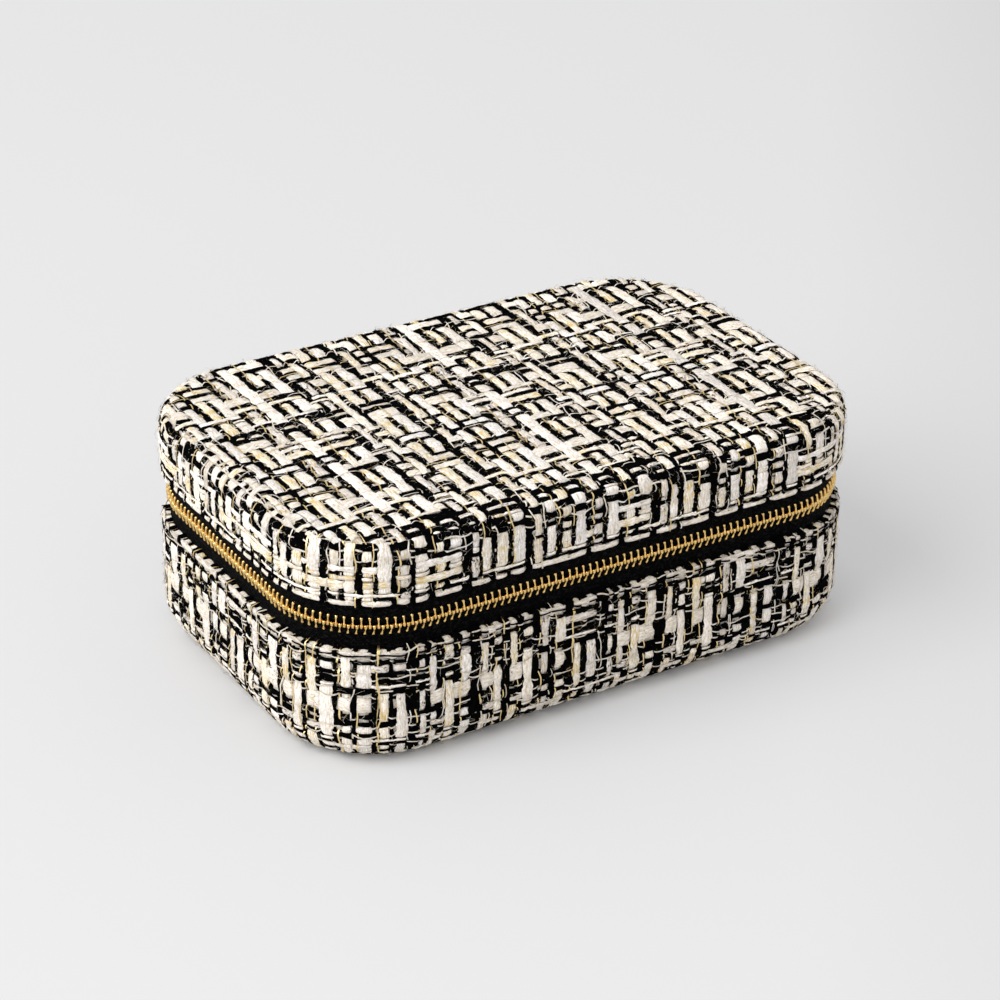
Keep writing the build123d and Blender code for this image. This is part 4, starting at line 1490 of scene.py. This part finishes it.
# The profile's points: distance from the beaded edge, and half thickness there (mm). The first one
# is the edge behind the rim.
BEAD_REACH = np.array([-8.0, -2.2, -1.5, -1.1, -0.7, -0.3, -0.08])
BEAD_HALF = np.array([0.3, 0.3, 0.32, 0.46, 0.52, 0.42, 0.18])


def zip_tape(name, side, rim):
    """A closed profile round the case: flat webbing from behind the rim to a bead at its edge.

    The profile goes out along the inner face and back along the outer one. Each point lies off the
    tape's middle by its half thickness, and off the edge by its distance.
    """
    half = STRETCHES[::2].sum() / 2 + 2 * CHAIN_QUARTER - BACK_FREE
    s = np.linspace(-half, half, TAPE_STEPS)
    points, normals = inset_outline(s, TAPE_MIDDLE)
    depth = np.concatenate([-BEAD_HALF, BEAD_HALF[::-1]]) * MM
    reach = np.concatenate([BEAD_REACH, BEAD_REACH[::-1]]) * MM
    z = (ZIP_Z + side * edge_gap(points))[:, None] - side * reach
    z[:, [0, -1]] = rim + side * BEHIND_RIM
    out = normals[:, None, :] * depth[None, :, None]
    grid = np.concatenate([points[:, None, :] + out, z[..., None]], -1)
    uv = np.stack(np.broadcast_arrays((z - ZIP_Z) / MM, s[:, None] / MM), -1)
    patches = Patches()
    patches.add(grid, uv, wrap=True, flip=side > 0)
    count = len(BEAD_HALF)
    for end, turned in ((0, side < 0), (-1, side > 0)):
        face = np.stack([grid[end, :count], grid[end, : count - 1 : -1]])
        patches.add(face, uv[end, :count][None], flip=turned)
    return weld(patches.build(name, [tape_cloth]))


lower_tape = zip_tape("lower_tape_webbing", -1, BASE_RIM)
upper_tape = zip_tape("upper_tape_webbing", 1, LID_RIM)
for piece, body, solid in (
    (lower_tape, "base", "lower_zip_tape"), (upper_tape, "lid", "upper_zip_tape")
):
    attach(piece, body)
    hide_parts(solid)

# %% [markdown]
# ## Zip teeth
# A metal tooth has a leg clamped on the tape and a wider head that locks between the two heads
# opposite. There are about three hundred, so each has only a few dozen faces: eight rings of eight
# points, with closed ends. All teeth of a row are placed at once, by turning one tooth to the
# zip's heading at each place. Each point also carries a share that the metal's material reads: it
# paints a highlight on a tooth's outward face and shade on its flanks, partly also the slider's
# rubbing.

# %% One tooth
# The ring's points as shares of a tooth's width and thickness, and each one's share of painted
# highlight, partly rubbing: full on the outward face, none on the flanks and inner face.
RING = np.array(
    [(-0.5, -0.32), (-0.24, -0.5), (0.24, -0.5), (0.5, -0.32)]
    + [(0.5, 0.32), (0.24, 0.5), (-0.24, 0.5), (-0.5, 0.32)]
)
RUBBED_AND_LIT = np.array([0, 0, 0, 0, 0.35, 1, 1, 0.55])
# Height past the zip line, width and thickness of each ring, in millimetres.
TOOTH_RINGS = np.array([
    (2.88, 0.64, 1.1), (2.64, 1.04, 1.6), (2.28, 0.94, 1.8), (1.85, 0.58, 2.0), (0.82, 0.50, 2.5),
    (0.44, 1.06, 2.85), (-0.40, 1.16, 2.9), (-0.58, 0.84, 2.2),
])
# A leg leans along the zip from this height on, and the two rows differ in lean and width.
LEG_FROM, LEAN_VARIES = 0.4 * MM, 0.02
UPPER_LEAN, UPPER_WIDTH, LOWER_LEAN, LOWER_WIDTH = 0.05, 0.92, 0.15, 1.02


def tooth_grid():
    """One upper tooth: the eight-point ring scaled to each width and thickness, at each height."""
    shape = RING[None] * TOOTH_RINGS[:, None, 1:]
    height = np.broadcast_to(TOOTH_RINGS[:, None, :1], (len(TOOTH_RINGS), len(RING), 1))
    return np.concatenate([shape, height], -1) * MM


def tooth_faces():
    """Quads of one tooth as indices: walls join each ring to the next, three quads close an end."""
    size, rings = len(RING), len(TOOTH_RINGS)
    ring, step = np.meshgrid(np.arange(rings - 1), np.arange(size), indexing="ij")
    a, b = ring * size + step, ring * size + (step + 1) % size
    walls = np.stack([a, b, b + size, a + size], -1).reshape(-1, 4)
    cap = np.array([(3, 2, 1, 0), (7, 4, 3, 0), (7, 6, 5, 4)])
    return np.concatenate([walls, cap, cap[:, ::-1] + size * (rings - 1)])


print("a tooth has", len(tooth_faces()), "faces")


# %% The rows of teeth
def tooth_places(half_step, passed):
    """Points and normals of the teeth of one row, and how far the slider's mouth lifts each.

    They stand at one pitch along the drawn-in outline. passed picks those on the right side that
    the slider passes, or else all the others.
    """
    end = CHAIN_START + STRAIGHT_X + CHAIN_QUARTER + STRAIGHT_Y + SLIDER_Y + SLIDER_LENGTH / 2
    count = int((end - FIRST_TOOTH) / TOOTH_PITCH)
    along = FIRST_TOOTH + (np.arange(count) + half_step) * TOOTH_PITCH
    points, normals = inset_outline(CHAIN_START - along, TAPE_MIDDLE)
    reached = SLIDER_Y - SLIDER_TRAVEL - SLIDER_LENGTH / 2 - 1 * MM
    on_right = (points[:, 0] > LENGTH / 2 - TAPE_MIDDLE - 0.01 * MM) & (points[:, 1] > reached)
    lift = np.where(on_right, mouth(points[:, 1]), 0)
    chosen = on_right if passed else ~on_right
    return points[chosen], normals[chosen], lift[chosen]


def row_of_teeth(name, side, half_step, passed):
    """All the teeth of one row in one array: the tooth's width lies along the zip's heading.

    Its thickness lies along the normal, and its height is up or down from the zip's line. A leg is
    moved along the zip by its lean times its height.
    """
    points, normals, lift = tooth_places(half_step, passed)
    rng = np.random.default_rng(3 + int(side > 0) + 2 * passed)
    count = len(points)
    tangents = np.stack([normals[:, 1], -normals[:, 0]], -1)
    mean_lean, width = (UPPER_LEAN, UPPER_WIDTH) if side > 0 else (LOWER_LEAN, LOWER_WIDTH)
    lean = rng.normal(mean_lean, LEAN_VARIES, count)[:, None, None]
    grid = tooth_grid()[None]
    across = grid[..., 0] * width + lean * np.maximum(grid[..., 2] - LEG_FROM, 0)
    flat = (
        points[:, None, None]
        + tangents[:, None, None] * across[..., None]
        + normals[:, None, None] * grid[..., 1, None]
    )
    z = ZIP_Z + side * (grid[..., 2] + lift[:, None, None])
    solid = np.concatenate([flat, z[..., None]], -1)
    faces = tooth_faces() if side < 0 else tooth_faces()[:, ::-1]
    per_tooth = solid.shape[1] * solid.shape[2]
    quads = (faces[None] + per_tooth * np.arange(count)[:, None, None]).reshape(-1, 4)
    mesh = bpy.data.meshes.new(name)
    mesh.from_pydata(solid.reshape(-1, 3).tolist(), [], quads.tolist())
    mesh.polygons.foreach_set("use_smooth", np.ones(len(quads), bool))
    # Each point's share of painted highlight, partly rubbing, for the metal's material.
    rubbed_and_lit = mesh.attributes.new("rubbed_and_lit", "FLOAT", "POINT")
    rubbed_and_lit.data.foreach_set("value", np.tile(RUBBED_AND_LIT, count * len(TOOTH_RINGS)))
    mesh.materials.append(gold_teeth)
    print(f"{name}: {count} teeth")
    return put_in_scene(name, mesh)


for side, body, row in ((1, "lid", "upper_teeth"), (-1, "base", "lower_teeth")):
    for passed in (False, True):
        node_name = row + ("_right_side" if passed else "")
        piece = row_of_teeth("cast_" + node_name, side, 0.0 if side > 0 else 0.5, passed)
        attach(piece, body)
        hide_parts(node_name)

# %% [markdown]
# ## Hinge strip
# On the back a strip of black cloth joins base and lid, with velvet on its inside. Cloth that
# crosses a hinge has to bend; here each strip is a fine closed sheet with a faint ripple, which
# stays as it is built.

# %% The two strips
STRIP_COLUMNS, STRIP_ROWS = 65, 49
# A faint ripple in the cloth: its height, and how far along and up the strip one radian of it goes.
RIPPLE, RIPPLE_ALONG, RIPPLE_UP = 0.04 * MM, 3.1 * MM, 2.3 * MM


def hinge_cloth(name, y, thick, half_length, low, high, material, solid):
    """A closed flat sheet: two faces of one grid, joined round the edge by wrapping the columns.

    The ripple moves a point out by the sine of its way along times the sine of its height.
    """
    x = np.linspace(-half_length, half_length, STRIP_COLUMNS)
    z = low + (high - low) * np.linspace(0, 1, STRIP_ROWS)
    X, Z = np.meshgrid(x, z, indexing="ij")
    ripple = RIPPLE * np.sin(X / RIPPLE_ALONG) * np.sin(Z / RIPPLE_UP)
    outer = np.stack([X, np.full_like(X, y + thick / 2) + ripple, Z], -1)
    inner = np.stack([X, np.full_like(X, y - thick / 2) + ripple, Z], -1)
    grid = np.concatenate([outer, inner[:, ::-1]], axis=1)
    uv = grid[..., [0, 2]] / MM
    patches = Patches()
    patches.add(grid, uv[..., ::-1], wrap=True, flip=True)
    for end, turned in ((0, True), (-1, False)):
        face = np.stack([outer[end], inner[end]], axis=0)
        patches.add(face, face[..., [0, 2]] / MM, flip=turned)
    piece = weld(patches.build(name, [material]))
    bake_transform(piece)
    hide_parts(solid)
    return piece


STRIP_HALF_LENGTH, LINING_HALF_HEIGHT = 64 * MM, 6.9 * MM
hinge_cloth(
    "hinge_tape_cloth", WIDTH / 2 - TAPE_MIDDLE, 0.6 * MM, STRIP_HALF_LENGTH,
    BASE_RIM - BEHIND_RIM, LID_RIM + BEHIND_RIM, tape_cloth, "hinge_strip",
)
hinge_cloth(
    "hinge_velvet_cloth", WIDTH / 2 - 3.7 * MM, 0.8 * MM, STRIP_HALF_LENGTH,
    ZIP_Z - LINING_HALF_HEIGHT, ZIP_Z + LINING_HALF_HEIGHT, velvet, "hinge_strip_lining",
)

# %% [markdown]
# ## Ring rolls
# Rings are held between soft rolls: foam sticks wrapped in velvet, side by side. A cloth simulation
# could puff them up, but they are packed too tightly to take another shape. So each is a closed
# crowned form, fuller in the middle, with rounded ends and a faint unevenness. The section is a
# half circle on straight sides, and the ends close over as a quarter ellipse.

# %% The rolls
# The lining's surface lies FLOOR above the table and as far in from the outside of the wall.
FLOOR = 6.4 * MM
PARTITION_Y, PARTITION_HALF = 8 * MM, 1.2 * MM
RING_LEFT, RING_RIGHT = -63 * MM, 29 * MM
ROLL_COUNT, ROLL_GAP, ROLL_HEIGHT = 9, 0.3 * MM, 22 * MM
roll_from = RING_LEFT + PARTITION_HALF + ROLL_GAP
roll_pitch = (RING_RIGHT - PARTITION_HALF - roll_from) / ROLL_COUNT
roll_width = roll_pitch - ROLL_GAP
roll_front = PARTITION_Y + PARTITION_HALF + ROLL_GAP
roll_back = WIDTH / 2 - FLOOR - ROLL_GAP
ROLL_RINGS, ROLL_ARC_POINTS, ROLL_FIT = 41, 17, 0.97
# The roll's straight sides and foot, from the left down and round: shares of half width and crown.
ROLL_LEFT = np.array([(-1, 0.75), (-1, 0.5), (-1, 0.25), (-0.94, 0.06), (-0.7, 0)])
ROLL_SIDES = np.concatenate([ROLL_LEFT, ROLL_LEFT[::-1] * [-1, 1]])


def ring_roll(index, rng):
    """Rings of points from front to back, a half circle on straight sides.

    At the share y of its length the half width is the root of 1 less y to the 14th, with a slight
    swell, and the sides' height shrinks by half as much.
    """
    y_share = np.sin(np.linspace(-np.pi / 2, np.pi / 2, ROLL_RINGS))
    middle_y, half_y = (roll_front + roll_back) / 2, (roll_back - roll_front) / 2
    x_middle = roll_from + index * roll_pitch + roll_width / 2
    size = (1 - np.abs(y_share) ** 14) ** 0.5
    swell = 1 - 0.03 * y_share**2 + 0.006 * smooth_noise(rng, y_share * half_y, 9)
    half = roll_width / 2 * ROLL_FIT * size * swell
    crown = (ROLL_HEIGHT - roll_width / 2) * (0.55 + 0.45 * size[:, None])
    angle = np.linspace(0, np.pi, ROLL_ARC_POINTS)
    x = np.concatenate([np.cos(angle), ROLL_SIDES[:, 0]])[None] * half[:, None]
    lift_top = crown + np.sin(angle) * half[:, None]
    lift_side = ROLL_SIDES[:, 1] * crown
    z = FLOOR + np.concatenate([lift_top, lift_side], axis=1)
    y = np.broadcast_to((middle_y + half_y * y_share)[:, None], x.shape)
    return np.stack([x_middle + x, y, z], -1)


roll_patches = Patches()
rng = np.random.default_rng(17)
for index in range(ROLL_COUNT):
    grid = ring_roll(index, rng)
    roll_patches.add(grid, grid[..., :2] / MM, wrap=True, flip=True)
rolls = weld(roll_patches.build("velvet_ring_rolls", [velvet_rolls]))
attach(rolls, "base")
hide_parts("ring_rolls")

# %% [markdown]
# ## Foam under the cloth
# Thin foam under the top and the underside makes them a little soft. It is hidden, yet it is part
# of the case, so it is here as two thin pads with rounded edges, each between the cloth and the
# board. A bevelled box would do too, but its corners wouldn't follow the outline of the case.

# %% The two foam pads
foam, tree, shader = new_material("foam", 0.95)
grain = patches_of(tree, 4 * MM).outputs["Grain"]
two_tints(tree, shader, grain, (0.55, 0.54, 0.50), (0.75, 0.74, 0.70))
bump(tree, shader, grain, 0.2 * MM)
# A pad ends PAD_INSET inside the outline. Each face has a ring at each share of that size.
PAD_INSET, PAD_THICK, PAD_BULGE = 12.5 * MM, 0.9 * MM, 0.4 * MM
PAD_STEPS, PAD_EDGE_STEPS, PAD_SHARES = 145, 9, (0, 0.3, 0.6, 0.85)


def foam_pad(name, low, body, solid):
    """Rings of the drawn-in outline, from the middle of the underside round the edge to the top.

    The edge is a half ellipse: out by the cosine of an angle and up by its sine.
    """
    s = np.linspace(0, PERIMETER, PAD_STEPS)
    points, normals = outline(s)
    edge = points - normals * PAD_INSET

    def ring(flat, z):
        """The points of the outline at one height."""
        return np.concatenate([flat, np.full((len(s), 1), z)], -1)

    rings = [ring(edge * share, low) for share in PAD_SHARES]
    for angle in np.linspace(-np.pi / 2, np.pi / 2, PAD_EDGE_STEPS):
        bulge, rise = PAD_BULGE * np.cos(angle), PAD_THICK * (0.5 + 0.5 * np.sin(angle))
        rings.append(ring(edge + normals * bulge, low + rise))
    rings += [ring(edge * share, low + PAD_THICK) for share in PAD_SHARES[::-1]]
    grid = np.stack(rings)[:, :-1]
    patches = Patches()
    patches.add(grid, grid[..., :2] / MM, wrap=True)
    piece = weld(patches.build(name, [foam]))
    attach(piece, body)
    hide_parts(solid)


foam_pad("top_foam", HEIGHT - 2.65 * MM, "lid", "lid_padding")
foam_pad("floor_foam", 1.75 * MM, "base", "base_padding")

# %% [markdown]
# ## Solids that keep their shape
# The other solids already have their real shape: boards, linings, partitions, metal parts and
# mirror. They only need their finishes, put in their material slots by name.

# %% Finishes by node
FINISHES = {
    "base_board": board_card,
    "lid_board": board_card,
    "base_lining": velvet,
    "lid_lining": velvet,
    "long_partition": velvet,
    "ring_section_walls": velvet,
    "divider_guides": velvet,
    "left_divider": velvet,
    "right_divider": velvet,
    "mirror_frame": velvet,
    "mirror": mirror_glass,
    "zip_bottom_stop": gold_slider,
    "lower_top_stop": gold_slider,
    "upper_top_stop": gold_slider,
    "slider": gold_slider,
    "pull_link": gold_slider,
    "pull_plate": gold_slider,
    "base_cover": ground_cloth,
    "lid_cover": ground_cloth,
    "base_padding": foam,
    "lid_padding": foam,
    "lower_zip_tape": tape_cloth,
    "upper_zip_tape": tape_cloth,
    "hinge_strip": tape_cloth,
    "hinge_strip_lining": velvet,
    "ring_rolls": velvet_rolls,
    "upper_teeth": gold_teeth,
    "upper_teeth_right_side": gold_teeth,
    "lower_teeth": gold_teeth,
    "lower_teeth_right_side": gold_teeth,
}
for node_name, finish in FINISHES.items():
    solid = bpy.data.objects[node_name]
    solid.data.materials.clear()
    solid.data.materials.append(finish)
print("finished", len(FINISHES), "of", len(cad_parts), "nodes")

# %% [markdown]
# ## Floor, world and lamps
# The photograph was taken on a pale sweep under one large soft lamp, high on the left and a little
# behind. The level is plain: a white card on the floor would come out just under white. The camera
# sees the world as pale grey, and so do metal and glass, which would otherwise look too dark. A
# plain floor would lie in one tone, so a faint glow lifts the paper, with a painted shade that
# darkens the glow on the right, and the glow is taken away where the case stands close above it,
# which paints a contact shadow there.

# %% Floor and backdrop
def is_seen(tree):
    """1 for a ray from the camera, a reflection or clear glass, and 0 for one that only lights."""
    path = node(tree, "ShaderNodeLightPath")
    direct = math(tree, "MAXIMUM", path.outputs["Is Camera Ray"], path.outputs["Is Glossy Ray"])
    return math(tree, "MAXIMUM", direct, path.outputs["Is Transmission Ray"])


def mix_shaders(tree, share, first, second, target):
    """Links two shaders to the target: the first where share is 0, the second where it is 1."""
    mixed = node(tree, "ShaderNodeMixShader")
    for place, source in zip(mixed.inputs, (share, first, second)):
        tree.links.new(source, place)
    tree.links.new(mixed.outputs[0], target)


sweep, tree, shader = new_material("pale sweep", 0.9, specular=0.1)
uneven = patches_of(tree, 0.9).outputs["Patch"]
two_tints(tree, shader, uneven, (0.64, 0.642, 0.65), (0.68, 0.682, 0.69))
# The painted shade deepens along this heading on the floor, from the first distance to the second.
SHADE_X, SHADE_Y, SHADE_FROM, SHADE_TO = 0.80, -0.60, 0.10, 0.19
where = node(tree, "ShaderNodeTexCoord")
split = node(tree, "ShaderNodeSeparateXYZ")
tree.links.new(where.outputs["Object"], split.inputs[0])
by_x = math(tree, "MULTIPLY", split.outputs[0], SHADE_X)
by_y = math(tree, "MULTIPLY", split.outputs[1], SHADE_Y)
shade = ramp(tree, math(tree, "ADD", by_x, by_y), SHADE_FROM, SHADE_TO)
glow = node(tree, "ShaderNodeEmission", Strength=1.0)
painted_light = blend_colour(tree, shade, (0.75, 0.75, 0.765), (0.60, 0.60, 0.614))
tree.links.new(painted_light, glow.inputs["Color"])
# The glow's share, and the reach within which the case's closeness takes the glow away: a painted
# contact shadow.
GLOW_SHARE, GLOW_REACH = 0.4, 0.02
open_sky = node(tree, "ShaderNodeAmbientOcclusion", Distance=GLOW_REACH, samples=8)
share = math(tree, "MULTIPLY", is_seen(tree), GLOW_SHARE)
share = math(tree, "MULTIPLY", share, open_sky.outputs["AO"])
surface = tree.nodes["Material Output"].inputs["Surface"]
mix_shaders(tree, share, shader.outputs[0], glow.outputs[0], surface)
X, Y = np.meshgrid(np.linspace(-4, 4, 9), np.linspace(-4, 4, 5), indexing="ij")
floor_grid = np.stack([X, Y, np.zeros_like(X)], -1)
floor_patches = Patches()
floor_patches.add(floor_grid, floor_grid[..., :2], flip=True)
floor = floor_patches.build("sweep_floor", [sweep])

# %% World and lamps
world = bpy.data.worlds.new("studio")
bpy.context.scene.world = world
world.use_nodes = True
tree = world.node_tree
light = tree.nodes["Background"]
light.inputs["Color"].default_value = (1.0, 0.99, 0.975, 1)
light.inputs["Strength"].default_value = 0.80
backdrop = node(tree, "ShaderNodeBackground", Color=(0.78, 0.78, 0.80, 1), Strength=1.0)
surface = tree.nodes["World Output"].inputs["Surface"]
mix_shaders(tree, is_seen(tree), light.outputs[0], backdrop.outputs[0], surface)


def soft_lamp(name, place, target, size, power):
    """A square area lamp at place that faces target."""
    lamp = bpy.data.lights.new(name, "AREA")
    lamp.size, lamp.energy = size, power
    made = put_in_scene(name, lamp)
    made.location = place
    made.rotation_euler = (Vector(target) - Vector(place)).to_track_quat("-Z", "Y").to_euler()


soft_lamp("key", (-1.9, -0.1, 1.75), (0, 0, 0.04), 2.0, 61.5)
soft_lamp("front fill", (0.3, -2.0, 1.1), (0, 0, 0.04), 1.8, 1.5)
bpy.context.scene.view_settings.view_transform = "Standard"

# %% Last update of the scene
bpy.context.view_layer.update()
